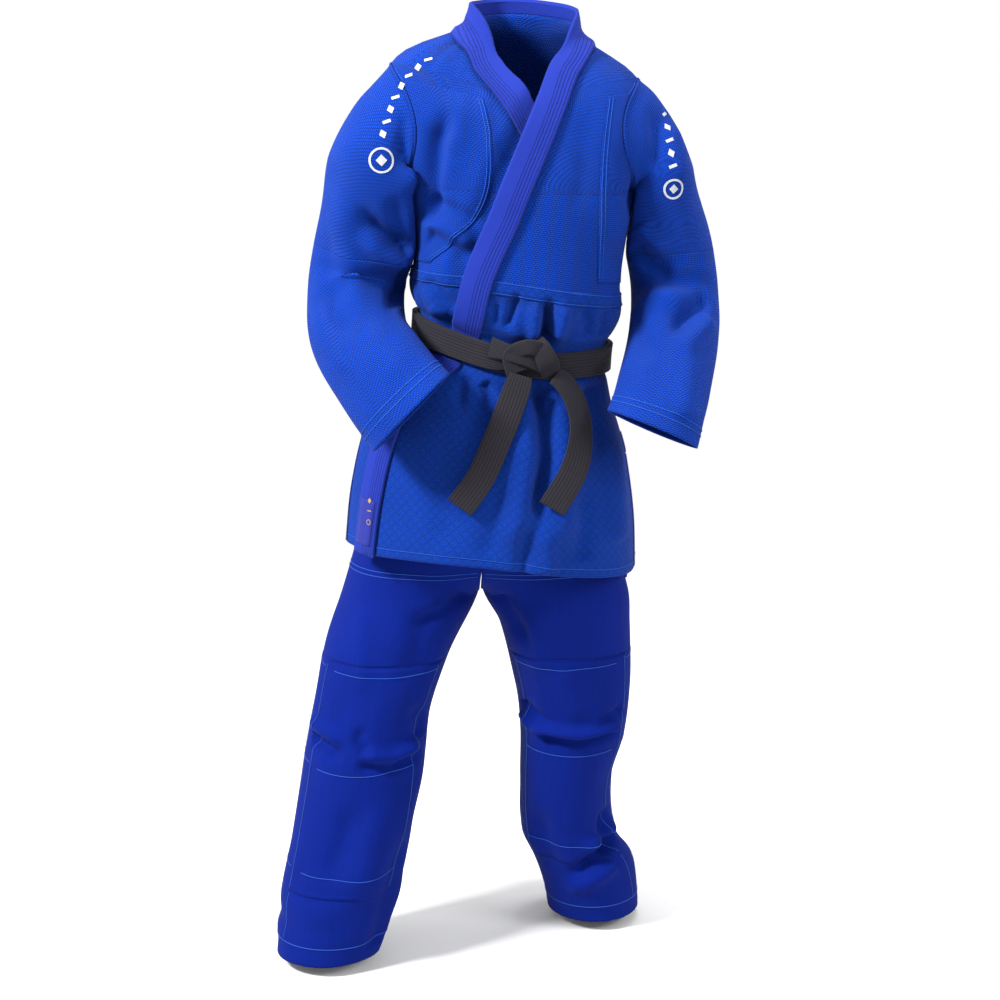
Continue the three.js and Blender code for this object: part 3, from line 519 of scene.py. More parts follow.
KNEE_BACK_FOLDS = [
    ([(-350, 440), (-255, 420), (-160, 436)], -8, 12, 0.2, (0.2, 0.2)),
    ([(-350, 410), (-260, 392), (-165, 404)], 8, 14, 0.0, (0.2, 0.2)),
    ([(-340, 380), (-262, 360), (-175, 376)], -6, 12, 0.0, (0.2, 0.2)),
    ([(0, 440), (90, 420), (180, 436)], -8, 12, 0.2, (0.2, 0.2)),
    ([(0, 410), (90, 392), (180, 404)], 8, 14, 0.0, (0.2, 0.2)),
    ([(10, 380), (90, 360), (175, 376)], -6, 12, 0.0, (0.2, 0.2)),
    ([(-70, 700), (-150, 640), (-210, 600)], -7, 14, 0.0, (0.1, 0.5)),
    ([(-64, 700), (0, 640), (60, 600)], -7, 14, 0.0, (0.1, 0.5)),
]


def leg(name):
    side, _ = LEGS[name]
    bare = bare_leg(name)
    seed = 41 if name == "right" else 51

    def surface(turn, level, lift=0.0):
        point = bare(turn, level)
        normal = normals(bare, np.clip(turn, -179 * DEG, 179 * DEG), level, 1e-3, 1e-2, side)
        height = view_folds(point, normal, LEG_FOLDS[name], -1)
        height = height + view_folds(point, normal, KNEE_BACK_FOLDS, 1)
        around = np.asarray(turn) / (2 * math.pi) + 0.5
        height = height + 4.0 * noise(around * 7, level / 120, seed, 7)
        low = 1 - smooth(120, 260, level)
        height = height + low * 5 * rolls(around * 5 + level / 260, level / 60, seed + 1, 5) * smooth(20, 60, level)
        height = height * (1 - smooth(690, 790, level))
        return point + normal * (height + lift)[..., None]

    return surface


# ---- meshes ----
def to_frame(points):
    out = np.array(points, float) / 1000
    out[..., 2] -= NECK_HEIGHT / 1000
    return out


def make_object(name, verts, faces, uv=None, material=None, smooth_faces=None):
    mesh = bpy.data.meshes.new(name)
    mesh.from_pydata(np.asarray(verts).reshape(-1, 3).tolist(), [], [tuple(map(int, f)) for f in faces])
    if uv is not None:
        layer = mesh.uv_layers.new(name="UVMap")
        layer.data.foreach_set("uv", np.asarray(uv, np.float32).ravel())
    count_smooth = len(mesh.polygons) if smooth_faces is None else smooth_faces
    mesh.polygons.foreach_set("use_smooth", np.arange(len(mesh.polygons)) < count_smooth)
    mesh.update()
    obj = bpy.data.objects.new(name, mesh)
    bpy.context.collection.objects.link(obj)
    if material:
        mesh.materials.append(material)
    return obj


def grid_normals(points, ring):
    if ring:
        du = np.roll(points, -1, 1) - np.roll(points, 1, 1)
    else:
        du = np.gradient(points, axis=1)
    return unit(np.cross(du, np.gradient(points, axis=0)))


def lengths_along(points, axis):
    step = np.linalg.norm(np.diff(points, axis=axis), axis=-1)
    pad = [(0, 0), (0, 0)]
    pad[axis] = (1, 0)
    return np.pad(np.cumsum(step, axis=axis), pad)


def shell(name, points, cloth, material, flip=1, ring=False, uv=None):
    """A closed sheet of cloth whose outer face is the grid points (rows, columns, 3), in mm."""
    rows, cols = points.shape[:2]
    normal = grid_normals(points, ring) * flip
    inner = points - normal * cloth
    verts = to_frame(np.concatenate([points.reshape(-1, 3), inner.reshape(-1, 3)]))
    wide = np.concatenate([points, points[:, :1]], 1) if ring else points
    widths, heights = lengths_along(wide, 1)[:, -1], lengths_along(wide, 0)[-1]
    if uv is None:
        u = lengths_along(wide, 1)
        u = (u - u[:, u.shape[1] // 2, None]) / 1000
        v = lengths_along(wide, 0) / 1000
        uv = np.stack([u, v], -1)
    spans = cols if ring else cols - 1
    r, c = np.meshgrid(np.arange(rows - 1), np.arange(spans), indexing="ij")
    r, c = r.ravel(), c.ravel()
    top = lambda rr, cc: rr * cols + cc % cols
    corners = [(r, c), (r, c + 1), (r + 1, c + 1), (r + 1, c)]
    outer_quads = np.stack([top(a, b) for a, b in corners], 1)
    outer_uv = np.stack([uv[a, b] for a, b in corners], 1)
    inner_quads, inner_uv = outer_quads[:, ::-1] + rows * cols, outer_uv[:, ::-1]
    quads, uvs = [outer_quads, inner_quads], [outer_uv, inner_uv]

    def rim(path, coords, closed):
        path, coords = np.array(path), np.array(coords)
        a, b = path[:-1], path[1:]
        ca, cb = coords[:-1], coords[1:]
        quads.append(np.stack([b, a, a + rows * cols, b + rows * cols], 1))
        uvs.append(np.stack([cb, ca, ca, cb], 1))

    line = np.arange(spans + 1)
    rim(top(0, line), uv[0, line], ring)
    rim(top(rows - 1, line)[::-1], uv[rows - 1, line][::-1], ring)
    if not ring:
        line = np.arange(rows)
        rim(top(line, 0)[::-1], uv[line, 0][::-1], False)
        rim(top(line, cols - 1), uv[line, cols - 1], False)
    faced = 2 * len(outer_quads)
    quads, uvs = np.concatenate(quads), np.concatenate(uvs)
    if flip < 0:
        quads, uvs = quads[:, ::-1], uvs[:, ::-1]
    return make_object(name, verts, quads, uvs, material, faced)


def ribbon(name, centre, side, normal, width, cloth, material, across=3, crown=0.0):
    """A flat band along centre (n, 3), with side and normal unit vectors at each point, in mm."""
    k = np.linspace(-0.5, 0.5, across + 1)
    arch = crown * (1 - (2 * k) ** 2)
    points = (
        centre[:, None] + side[:, None] * (k * width)[None, :, None] + normal[:, None] * arch[None, :, None]
    )
    facing = np.sign((grid_normals(points, False) * normal[:, None]).sum())
    u = (k * width / 1000)[None].repeat(len(centre), 0)
    v = lengths_along(points, 0)[:, :1].repeat(across + 1, 1) / 1000
    return shell(name, points + normal[:, None] * cloth, cloth, material, facing, uv=np.stack([u, v], -1))


def surface_path(surface, u, v, lift):
    """Points of a surface along (u, v), the unit side direction of the path and the unit normal."""
    point = surface(u, v, lift)
    up = surface(u, v, lift + 1.0) - point
    normal = unit(up)
    side = unit(np.cross(np.gradient(point, axis=0), normal))
    return point, side, normal


def surface_band(name, surface, u, v, width, cloth, lift, material, step_u, step_v, across=4):
    """A band that follows a surface both ways: step_u, step_v are (u, v) per mm across it."""
    k = np.linspace(-0.5, 0.5, across + 1)[None] * width
    uu, vv = u[:, None] + step_u[:, None] * k, v[:, None] + step_v[:, None] * k
    points = surface(uu, vv, lift + cloth)
    outward = surface(uu, vv, lift + cloth + 1) - points
    facing = np.sign((grid_normals(points, False) * outward).sum())
    uv = np.stack([k.repeat(len(u), 0) / 1000, lengths_along(points, 0) / 1000], -1)
    return shell(name, points, cloth, material, facing, uv=uv)


def across_steps(surface, u, v, du, dv):
    """Coordinates per mm, square to a path on a surface."""
    point = surface(u, v)
    along_u = (surface(u + du, v) - surface(u - du, v)) / (2 * du)
    along_v = (surface(u, v + dv) - surface(u, v - dv)) / (2 * dv)
    normal = unit(np.cross(along_u, along_v))
    side = unit(np.cross(np.gradient(point, axis=0), normal))
    dot = lambda a, b: (a * b).sum(-1)
    uu, uv, vv = dot(along_u, along_u), dot(along_u, along_v), dot(along_v, along_v)
    us, vs = dot(along_u, side), dot(along_v, side)
    spread = uu * vv - uv * uv
    return (us * vv - vs * uv) / spread, (vs * uu - us * uv) / spread


# ---- materials ----
GLOSS = 0.06  # cotton has almost no mirror shine


class Wire:
    """A shader socket that takes part in arithmetic."""

    def __init__(self, tree, socket):
        self.tree, self.socket = tree, socket

    def math(self, kind, *others):
        node = self.tree.nodes.new("ShaderNodeMath")
        node.operation = kind
        for slot_in, value in zip(node.inputs, (self, *others)):
            if isinstance(value, Wire):
                self.tree.links.new(value.socket, slot_in)
            else:
                slot_in.default_value = value
        return Wire(self.tree, node.outputs[0])

    def __add__(self, other):
        return self.math("ADD", other)

    def __sub__(self, other):
        return self.math("SUBTRACT", other)

    def __mul__(self, other):
        return self.math("MULTIPLY", other)

    def fract(self):
        return self.math("FRACT")

    def hill(self):
        """A wave from 0 at whole numbers to 1 half way between them."""
        return (self.fract() - 0.5).math("ABSOLUTE") * -2 + 1

    def ramp(self, low, high, start=0.0, end=1.0):
        node = self.tree.nodes.new("ShaderNodeMapRange")
        node.interpolation_type = "SMOOTHSTEP"
        self.tree.links.new(self.socket, node.inputs["Value"])
        for key, value in zip(("From Min", "From Max", "To Min", "To Max"), (low, high, start, end)):
            node.inputs[key].default_value = value
        return Wire(self.tree, node.outputs["Result"])


def rice(u, v, wide=0.0056, high=0.0031):
    """Rows of small rice-shaped grains, each row shifted by half a grain."""
    row = v * (1 / high)
    shifted = u * (1 / wide) + row.math("FLOOR") * 0.5
    a, b = shifted.fract() - 0.5, row.fract() - 0.5
    return (a * a * 3.2 + b * b * 3.6).ramp(0.25, 1.0, 1.0, 0.0)


def diamond(u, v, size=0.017):
    """A lattice of sunken lines round raised diamonds filled with grain."""
    p, q = (u + v) * (1 / size), (u - v) * (1 / size)
    lattice = p.hill().math("MINIMUM", q.hill()).ramp(0.05, 0.55)
    return lattice * 0.35 + rice(u, v, 0.0046, 0.0028) * 0.65


def twill(u, v):
    return ((u + v * 0.6) * 620).hill() * 0.6 + ((v - u) * 190).hill() * 0.1


def webbing(u, v):
    """Stitched rows along the belt, over fine ribs across it."""
    rows = ((u + 0.0225) * (1 / 0.0053)).hill().ramp(0.0, 0.45)
    return rows * 0.75 + (v * 520).hill() * 0.25


def plain_drill(u, v):
    return ((u + v) * 560).hill() * 0.5


def tape_weave(u, v):
    return ((v + u) * 420).hill() * 0.3 + ((v - u) * 420).hill() * 0.3


def lapel_rows(u, v):
    """Drill with rows of stitching sunk into the half of the band nearest the seam."""
    groove = ((u + 0.024) * (1 / 0.0048)).hill().ramp(0.0, 0.5)
    stitched = u.ramp(-0.003, 0.001)
    rows = groove * stitched + (stitched * -1 + 1)
    return rows * 0.8 + ((u + v) * 560).hill() * 0.2


def new_cloth(name):
    """A material with its node tree, shader, UV node and the piece's flat coordinates in metres."""
    material = bpy.data.materials.new(name)
    material.use_nodes = True
    tree = material.node_tree
    uv = tree.nodes.new("ShaderNodeUVMap")
    split = tree.nodes.new("ShaderNodeSeparateXYZ")
    tree.links.new(uv.outputs["UV"], split.inputs[0])
    place = Wire(tree, split.outputs["X"]), Wire(tree, split.outputs["Y"])
    return material, tree, tree.nodes["Principled BSDF"], uv, place


def dye(tree, shader, colour, amount):
    """Colours a shader with one colour, made lighter or darker by a wire."""
    tint = tree.nodes.new("ShaderNodeVectorMath")
    tint.operation = "SCALE"
    tint.inputs[0].default_value = colour
    tree.links.new(amount.socket, tint.inputs["Scale"])
    tree.links.new(tint.outputs[0], shader.inputs["Base Color"])


def emboss(tree, shader, height, strength, distance):
    bump = tree.nodes.new("ShaderNodeBump")
    bump.inputs["Strength"].default_value = strength
    bump.inputs["Distance"].default_value = distance
    tree.links.new(height.socket, bump.inputs["Height"])
    tree.links.new(bump.outputs["Normal"], shader.inputs["Normal"])


def fabric(name, colour, weave, depth, hollow_shade=0.3, roughness=0.85, sheen=0.25, fade=0.12, shade_streaks=0.0):
    """Woven cloth: a weave drawn in the piece's own flat coordinates, with uneven dye; the weave's low places are
    darkened as painted shade, and some cloths get faint streaks of painted shade.
    """
    material, tree, shader, uv, (u, v) = new_cloth(name)
    raised = weave(u, v)

    def cloud(scale, detail, stretch=(1, 1, 1)):
        mapping = tree.nodes.new("ShaderNodeMapping")
        mapping.inputs["Scale"].default_value = stretch
        tree.links.new(uv.outputs["UV"], mapping.inputs["Vector"])
        node = tree.nodes.new("ShaderNodeTexNoise")
        node.inputs["Scale"].default_value = scale
        node.inputs["Detail"].default_value = detail
        tree.links.new(mapping.outputs["Vector"], node.inputs["Vector"])
        return Wire(tree, node.outputs["Fac"])

    tone = cloud(9, 3).ramp(0.25, 0.75) * fade + cloud(420, 2) * (0.5 * fade)
    # faint vertical streaks of painted shade, standing in for the shade of fine ripples in the drill
    if shade_streaks:
        tone = tone + cloud(60, 3, (3, 0.12, 1)).ramp(0.3, 0.7) * shade_streaks
    # the weave's low places are made darker here: painted shade in the hollows between the threads, on top of the
    # bump
    value = raised * hollow_shade + tone + (1 - hollow_shade - 0.75 * fade - shade_streaks / 2)
    dye(tree, shader, colour, value)
    emboss(tree, shader, raised + cloud(900, 2) * 0.35, 1.0, depth)
    shader.inputs["Roughness"].default_value = roughness
    shader.inputs["Specular IOR Level"].default_value = GLOSS
    shader.inputs["Sheen Weight"].default_value = sheen
    shader.inputs["Sheen Roughness"].default_value = 0.45
    shader.inputs["Sheen Tint"].default_value = (0.55, 0.7, 1.0, 1)
    return material


def stitching(name, colour, stitch=0.0034):
    """Thread in short stitches along a narrow band."""
    material, tree, shader, _, (_, v) = new_cloth(name)
    dash = (v * (1 / stitch)).hill().ramp(0.12, 0.4)
    dye(tree, shader, colour, dash * 0.6 + 0.4)
    emboss(tree, shader, dash, 0.6, 0.0004)
    shader.inputs["Roughness"].default_value = 0.6
    shader.inputs["Specular IOR Level"].default_value = GLOSS
    return material


def satin(name, colour):
    """Close satin stitch, with threads lying side by side."""
    return fabric(name, colour, lambda u, v: (u * 900 + v * 300).hill(), 0.0003, 0.25, 0.45, 0.1, 0.05)


WEAVE = fabric("weave", (0.0012, 0.029, 0.265), rice, 0.0014, 0.50, sheen=0.04)
SKIRT = fabric("skirt_weave", (0.0013, 0.025, 0.215), diamond, 0.0012, 0.38, sheen=0.04)
LAPEL = fabric("lapel", (0.0085, 0.020, 0.195), lapel_rows, 0.0010, 0.5, 0.8, 0.03, 0.08)
DRILL = fabric("trouser_drill", (0.0003, 0.0078, 0.130), twill, 0.0003, 0.16, 0.85, 0.01, 0.10, 0.10)
BELT = fabric("belt", (0.016, 0.0145, 0.019), webbing, 0.0008, 0.5, 0.7, 0.03, 0.1)
TAPE = fabric("tape", (0.016, 0.013, 0.15), tape_weave, 0.0003, 0.2, 0.75, 0.05, 0.06)
LABEL = fabric("label", (0.016, 0.022, 0.18), plain_drill, 0.0002, 0.2, 0.6, 0.05, 0.05)
WHITE = satin("embroidery", (0.42, 0.43, 0.46))
GOLD = satin("gold_thread", (0.32, 0.20, 0.055))
BLUE_THREAD = stitching("blue_thread", (0.012, 0.065, 0.36))
PALE_THREAD = stitching("pale_thread", (0.022, 0.075, 0.36))


# ---- how pieces are held: parented to the trunk's empty, or baked in place ----
def in_frame(x, y, z):
    return tuple(to_frame([x, y, z]))


def on_trunk(obj):
    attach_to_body(obj, "trunk")


def bend(a, b, start, end):
    return lambda obj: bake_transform(obj, a, b, start=in_frame(*start), end=in_frame(*end))


ATTACH = {
    "right_shoulder": bend("trunk", "right_upper_arm", (-197, 0, 1316), (-236, 0, 1281)),
    "left_shoulder": bend("trunk", "left_upper_arm", (197, 0, 1315), (236, 0, 1280)),
    "right_elbow": bend("right_upper_arm", "right_forearm", (-265, 20, 1172), (-248, -24, 1078)),
    "left_elbow": bend("left_upper_arm", "left_forearm", (247, 30, 1162), (243, -14, 1066)),
    "right_hip": bend("trunk", "right_thigh_leg", (-180, 0, 704), (-220, 0, 634)),
    "left_hip": bend("trunk", "left_thigh_leg", (55, 0, 711), (95, 0, 641)),
    "right_knee": bend("right_thigh_leg", "right_lower_leg", (-258, -20, 498), (-258, -20, 332)),
    "left_knee": bend("left_thigh_leg", "left_lower_leg", (90, 58, 498), (90, 58, 332)),
}


def finish_piece(obj, attach, *nodes, held="hung"):
    attach(obj)
    if nodes:
        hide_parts(*nodes)
    return obj


def stitch_row(name, surface, u, v, attach, material, lift=0.4, width=0.9):
    """One row of stitches along a path on a surface."""
    point, side, normal = surface_path(surface, u, v, lift)
    obj = ribbon(name, point, side, normal, width, 0.5, material, across=1)
    attach(obj)
    return obj


# ---- jacket panels ----
def count(length, step=5.0):
    return max(int(length / (step * COARSE)), 4)


NECK_TOP = profile(
    (-40, 1530), (-20, 1512), (0, 1500), (30, 1506), (48, 1530), (72, 1549), (100, 1563), (180, 1572),
    (260, 1567), (296, 1561), (320, 1540), (341, 1512), (360, 1500),
)


def panel_levels(low, high):
    """Levels about 5 mm apart, but at the sleeve's own levels round the armhole, so that the two meet."""
    hole = ARMHOLE_LEVEL + ARMHOLE_HIGH * np.cos(np.linspace(math.pi, 0, 60 // COARSE + 1))
    if high < hole[0] + 5:
        return np.linspace(low, high, count(high - low))
    below = np.linspace(low, hole[0], count(hole[0] - low))[:-1]
    if high < hole[-1]:
        return np.concatenate([below, hole[hole < high - 0.5], [high]])
    above = np.linspace(hole[-1], high, count(high - hole[-1]))[1:]
    return np.concatenate([below, hole, above])


def panel(name, from_angle, to_angle, low, high, lift, material, columns, *nodes, cloth=JACKET_CLOTH):
    """A piece of the jacket between two edges; its top follows the neckline under the collar band."""
    levels = panel_levels(low, high)[:, None]
    share = np.linspace(0, 1, max(columns // COARSE, 3))[None]
    angle = mix(from_angle(levels), to_angle(levels), share)
    top = NECK_TOP(np.mod(angle / DEG + 40, 360) - 40)[0]
    level = levels + smooth(ARMHOLE_LEVEL + ARMHOLE_HIGH, NECK_LEVEL, levels) * (top - NECK_LEVEL)
    raised = lift(angle, level) if callable(lift) else lift
    obj = shell(name, jacket(angle, level, raised), cloth, material)
    return finish_piece(obj, on_trunk, *nodes)


def side_edge(side):
    return lambda level: side * (90 * DEG - armhole_cut(level) - 0.002)


def back_edge(side):
    return lambda level: 180 * DEG - side * (90 * DEG - armhole_cut(level) - 0.002)


def vent_gap(level):
    return (1 - smooth(VENT_LEVEL - 40, VENT_LEVEL + 40, level)) * 4 * DEG


def skirt_edge(side):
    return lambda level: side * (90 * DEG - 0.002 - vent_gap(level))


def plain_back(side):
    return lambda level: 180 * DEG - side * (90 * DEG - 0.002) + 0 * level


def vent_back(side):
    """The back skirt's edge, which laps under the front skirt along the vent."""
    return lambda level: side * (90 * DEG + 0.002 - 1.7 * vent_gap(level))


def under_vent(angle, level):
    away = np.abs(np.abs(np.mod(angle + math.pi, 2 * math.pi) - math.pi) - 90 * DEG)
    behind = np.abs(np.mod(angle + math.pi, 2 * math.pi) - math.pi) > 90 * DEG
    return -6 * vent_gap(level) / (4 * DEG) * np.where(behind, 1 - smooth(0, 8 * DEG, away), 1)


left_line = lambda level: lapel_angle(1, level)
right_line = lambda level: lapel_angle(-1, level)
SEAM, TOP = WAIST_SEAM, NECK_LEVEL
BACK_AROUND = lambda level: 360 * DEG + vent_back(-1)(level)
for name, left, right, low, high, lift, material, columns, node in (
    ("jacket_back", back_edge(1), back_edge(-1), SEAM + 0.5, TOP, 0, WEAVE, 110, "back_panel"),
    ("jacket_left_front", left_line, side_edge(1), SEAM + 0.5, TOP, 0, WEAVE, 80, "left_front_panel"),
    ("jacket_right_front", side_edge(-1), right_line, SEAM + 0.5, TOP, underlap, WEAVE, 90, "right_front_panel"),
    ("skirt_back", vent_back(1), BACK_AROUND, HEM_LEVEL, SEAM - 0.5, under_vent, SKIRT, 140, "back_skirt"),
    ("skirt_left_front", left_line, skirt_edge(1), HEM_LEVEL, SEAM - 0.5, 0, SKIRT, 110, "left_front_skirt"),
    ("skirt_right_front", skirt_edge(-1), right_line, HEM_LEVEL, SEAM - 0.5, underlap, SKIRT, 110,
     "right_front_skirt"),
):
    panel(name, left, right, low, high, lift, material, columns, node)

# ---- chest reinforcements, waist tape and vents ----
CHEST_EDGE = {
    "right": profile((1170, -150), (1240, -90), (1300, -54), (1400, -48), (1470, -62)),
    "left": profile((1170, 116), (1300, 116), (1400, 122), (1470, 132)),
}
CHEST_LOW, CHEST_HIGH, CHEST_CLOTH = 1174, 1466, 1.3
chest_line = lambda name: lambda level: angle_at(CHEST_EDGE[name](level)[0], level)
at_angle = lambda angle: lambda level: angle + 0 * level
on_top = lambda height: lambda angle, level: height
under_top = lambda height: lambda angle, level: height + underlap(angle, level)
panel("chest_right", lambda l: side_edge(-1)(l) + 0.012, chest_line("right"), CHEST_LOW, CHEST_HIGH,
      under_top(1.4), WEAVE, 44, "right_chest_patch", cloth=CHEST_CLOTH)
panel("chest_left", chest_line("left"), lambda l: side_edge(1)(l) - 0.012, CHEST_LOW, CHEST_HIGH,
      on_top(1.4), WEAVE, 30, "left_chest_patch", cloth=CHEST_CLOTH)
for name, left, right, lift, columns in (
    ("back", plain_back(1), plain_back(-1), on_top(1.3), 130),
    ("left", left_line, at_angle(89.9 * DEG), on_top(1.3), 90),
    ("right", at_angle(-89.8 * DEG), right_line, under_top(1.3), 90),
):
    panel(f"waist_tape_{name}", left, right, SEAM - 9, SEAM + 9, lift, SKIRT, columns, f"{name}_waist_tape",
          cloth=1.2)

SIDES = (("right", -1), ("left", 1))
TAPE_TURN = 0.06  # the angle that a vent tape covers


def vent_piece(kind, name, from_angle, to_angle, low, high, lift, columns, cloth):
    """A tape or gusset at a vent, whose two edges come in the order of growing angle."""
    panel(f"vent_{kind}_{name}", from_angle, to_angle, low, high, lift, TAPE, columns,
          f"{name}_vent_{kind}", cloth=cloth)


for name, side in SIDES:
    front = skirt_edge(side)
    edges = (lambda l: front(l) - side * TAPE_TURN, front)[::side]
    vent_piece("front_tape", name, *edges, HEM_LEVEL + 2, VENT_LEVEL - 8, on_top(1.0), 5, 0.9)
    edges = (at_angle(side * 90.2 * DEG), at_angle(side * (90.2 * DEG + TAPE_TURN)))[::side]
    vent_piece("back_tape", name, *edges, HEM_LEVEL + 2, VENT_LEVEL - 8, lambda a, l: 1.0 + under_vent(a, l), 5, 0.9)
    edges = (at_angle(side * (90 * DEG - TAPE_TURN)), at_angle(side * (90 * DEG + TAPE_TURN)))[::side]
    vent_piece("gusset", name, *edges, VENT_LEVEL - 6, VENT_LEVEL + 26, on_top(1.0), 7, 1.0)

# ---- collar band and lapels ----
LAPEL_WIDTH, LAPEL_CLOTH, LAPEL_LIFT = 48, 6, 1.6
COLLAR_PATH = profile(
    (0, 30, 1506), (0.08, 48, 1530), (0.18, 72, 1549), (0.28, 100, 1563), (0.5, 180, 1572),
    (0.72, 260, 1567), (0.86, 296, 1561), (0.93, 320, 1540), (1, 341, 1512),
)


def lapel_path(side, low, high, step=8):
    level = np.linspace(low, high, count(high - low, step))
    return lapel_angle(side, level), level


def collar_line():
    """The path of the upper band: up the left lapel, round the neck and down the right lapel."""
    left_angle, left_level = lapel_path(1, 1066, 1490)
    right_angle, right_level = lapel_path(-1, SEAM + 6, 1500)
    degrees, level = COLLAR_PATH(np.linspace(0.03, 0.975, count(620, 8)))
    angle = np.concatenate([left_angle, degrees * DEG, right_angle[::-1] + 2 * math.pi])
    level = np.concatenate([left_level, level, right_level[::-1]])
    for _ in range(3):
        angle[1:-1] = (angle[:-2] + 2 * angle[1:-1] + angle[2:]) / 4
        level[1:-1] = (level[:-2] + 2 * level[1:-1] + level[2:]) / 4
    return angle, level


def band_surface(lift_at):
    def surface(angle, level, lift=0.0):
        return jacket(angle, level, lift + lift_at(angle, level))

    return surface


def lapel_shape(name, angle, level, lift_at, *nodes, seam_side=1, cloth=LAPEL_CLOTH):
    """The stitched band, with a rounded free edge and rows of stitching on the seam half."""
    surface = band_surface(lift_at)
    step_u, step_v = across_steps(trunk, angle, level, 1e-3, 1e-2)
    k = np.linspace(-0.5, 0.5, 25 if COARSE == 1 else 13)[None]
    across = k * LAPEL_WIDTH
    edge = np.clip((0.5 - np.abs(k)) * LAPEL_WIDTH / 3.2, 0, 1)
    round_off = cloth * (np.sqrt(1 - (1 - edge) ** 2) - 1) * 0.55
    seam = k * seam_side
    rows = np.where(seam > 0, 0.9 * np.abs(np.sin(math.pi * (seam * LAPEL_WIDTH) / 4.8)) - 0.9, 0)
    uu, vv = angle[:, None] + step_u[:, None] * across, level[:, None] + step_v[:, None] * across
    full = smooth(BELT_WIDTH / 2 + 1, BELT_WIDTH / 2 + 16, np.abs(vv - BELT_LEVEL))
    height = mix(1.7, LAPEL_LIFT + cloth + round_off + rows, full)
    cloth = mix(1.5, cloth, full)[..., None]
    points = surface(uu, vv, height)
    outward = surface(uu, vv, 30.0) - surface(uu, vv, 0.0)
    facing = np.sign((grid_normals(points, False) * outward).sum())
    uv = np.stack(
        [(seam * LAPEL_WIDTH / 1000).repeat(len(angle), 0), lengths_along(points, 0) / 1000], -1
    )
    obj = shell(name, points, cloth, LAPEL, facing, uv=uv)
    return finish_piece(obj, on_trunk, *nodes)


def upper_lift(angle, level):
    """The band lies on top everywhere but on the right lapel, which dips under the left front."""
    turned = np.where(angle > math.pi * 1.2, angle - 2 * math.pi, angle)
    return np.where(angle > math.pi * 1.2, underlap(turned, level), 0.0)


angle, level = collar_line()
lapel_shape("collar_band", angle, level, upper_lift, "left_lapel", "collar", "right_lapel")
angle, level = lapel_path(1, HEM_LEVEL, 1046)
lapel_shape("lapel_end_left", angle, level, lambda a, l: 0 * a, "left_lapel_end")
angle, level = lapel_path(-1, HEM_LEVEL + 4, 1030)
lapel_shape("lapel_end_right", angle, level, underlap, "right_lapel_end", seam_side=-1, cloth=4)

# ---- label on the left lapel end ----
angle, level = lapel_path(1, 722, 794, 4)
step_u, step_v = across_steps(trunk, angle, level, 1e-3, 1e-2)
label = surface_band("label", jacket, angle, level, 33, 0.6, LAPEL_LIFT + LAPEL_CLOTH + 0.4, LABEL, step_u, step_v)
finish_piece(label, on_trunk, "lapel_label")

# ---- sleeves ----
def tube(name, surface, u, v, cloth, material, flip, attach, *nodes, ring=True):
    uu, vv = np.broadcast_arrays(u[None], v[:, None])
    obj = shell(name, surface(uu, vv), cloth, material, flip, ring)
    return finish_piece(obj, attach, *nodes)


around = np.linspace(0, 2 * math.pi, 120 // COARSE, endpoint=False)
SLEEVE_SEAM = 0.4
for name, side in SIDES:
    surface = sleeve(name)
    upper, lower = np.linspace(0, SLEEVE_SEAM, 62 // COARSE), np.linspace(SLEEVE_SEAM, 1, 92 // COARSE)
    tube(f"sleeve_upper_{name}", surface, around, upper, JACKET_CLOTH, WEAVE, 1, ATTACH[f"{name}_shoulder"],
         f"{name}_sleeve_head", f"{name}_upper_sleeve")
    tube(f"sleeve_lower_{name}", surface, around, lower, JACKET_CLOTH, WEAVE, 1, ATTACH[f"{name}_elbow"],
         f"{name}_sleeve_elbow", f"{name}_forearm_sleeve", f"{name}_sleeve_cuff")

    turn = np.linspace(0, 2 * math.pi, 181)
    point, across, normal = surface_path(surface, turn, 0.006 + 0 * turn, -0.3)
    welt = ribbon(f"armhole_welt_{name}", point, across, normal, 4.5, 1.4, WEAVE, 4, 0.5)
    ATTACH[f"{name}_shoulder"](welt)

# ---- trousers ----
LEG_SEAM, DRILL_CLOTH, PATCH_CLOTH = 535, 1.8, 1.3
for name, side in SIDES:
    surface = leg(name)
    half = np.linspace(-179.7, 179.7, 130 // COARSE) * DEG
    whole = np.linspace(-180, 180, 120 // COARSE, endpoint=False) * DEG
    front = np.linspace(-152, -28, 50 // COARSE) * DEG
    hip, knee = ATTACH[f"{name}_hip"], ATTACH[f"{name}_knee"]
    tube(f"trouser_upper_{name}", surface, half, np.linspace(LEG_SEAM, 1000, 84 // COARSE), DRILL_CLOTH, DRILL, side,
         hip, f"{name}_seat", f"{name}_hip", f"{name}_thigh", ring=False)
    tube(f"waistband_{name}", lambda t, l: surface(t, l, 1.4), half, np.linspace(996, 1038, 8), 3.0, DRILL, side,
         on_trunk, f"{name}_waistband", ring=False)
    tube(f"trouser_lower_{name}", surface, whole, np.linspace(20, LEG_SEAM, 110 // COARSE), DRILL_CLOTH, DRILL, side,
         knee, f"{name}_knee", f"{name}_shin", f"{name}_trouser_hem")
    tube(f"knee_patch_{name}", lambda t, l: surface(t, l, 1.5), front, np.linspace(140, 532, 80 // COARSE),
         PATCH_CLOTH, DRILL, side, knee, f"{name}_knee_patch", ring=False)

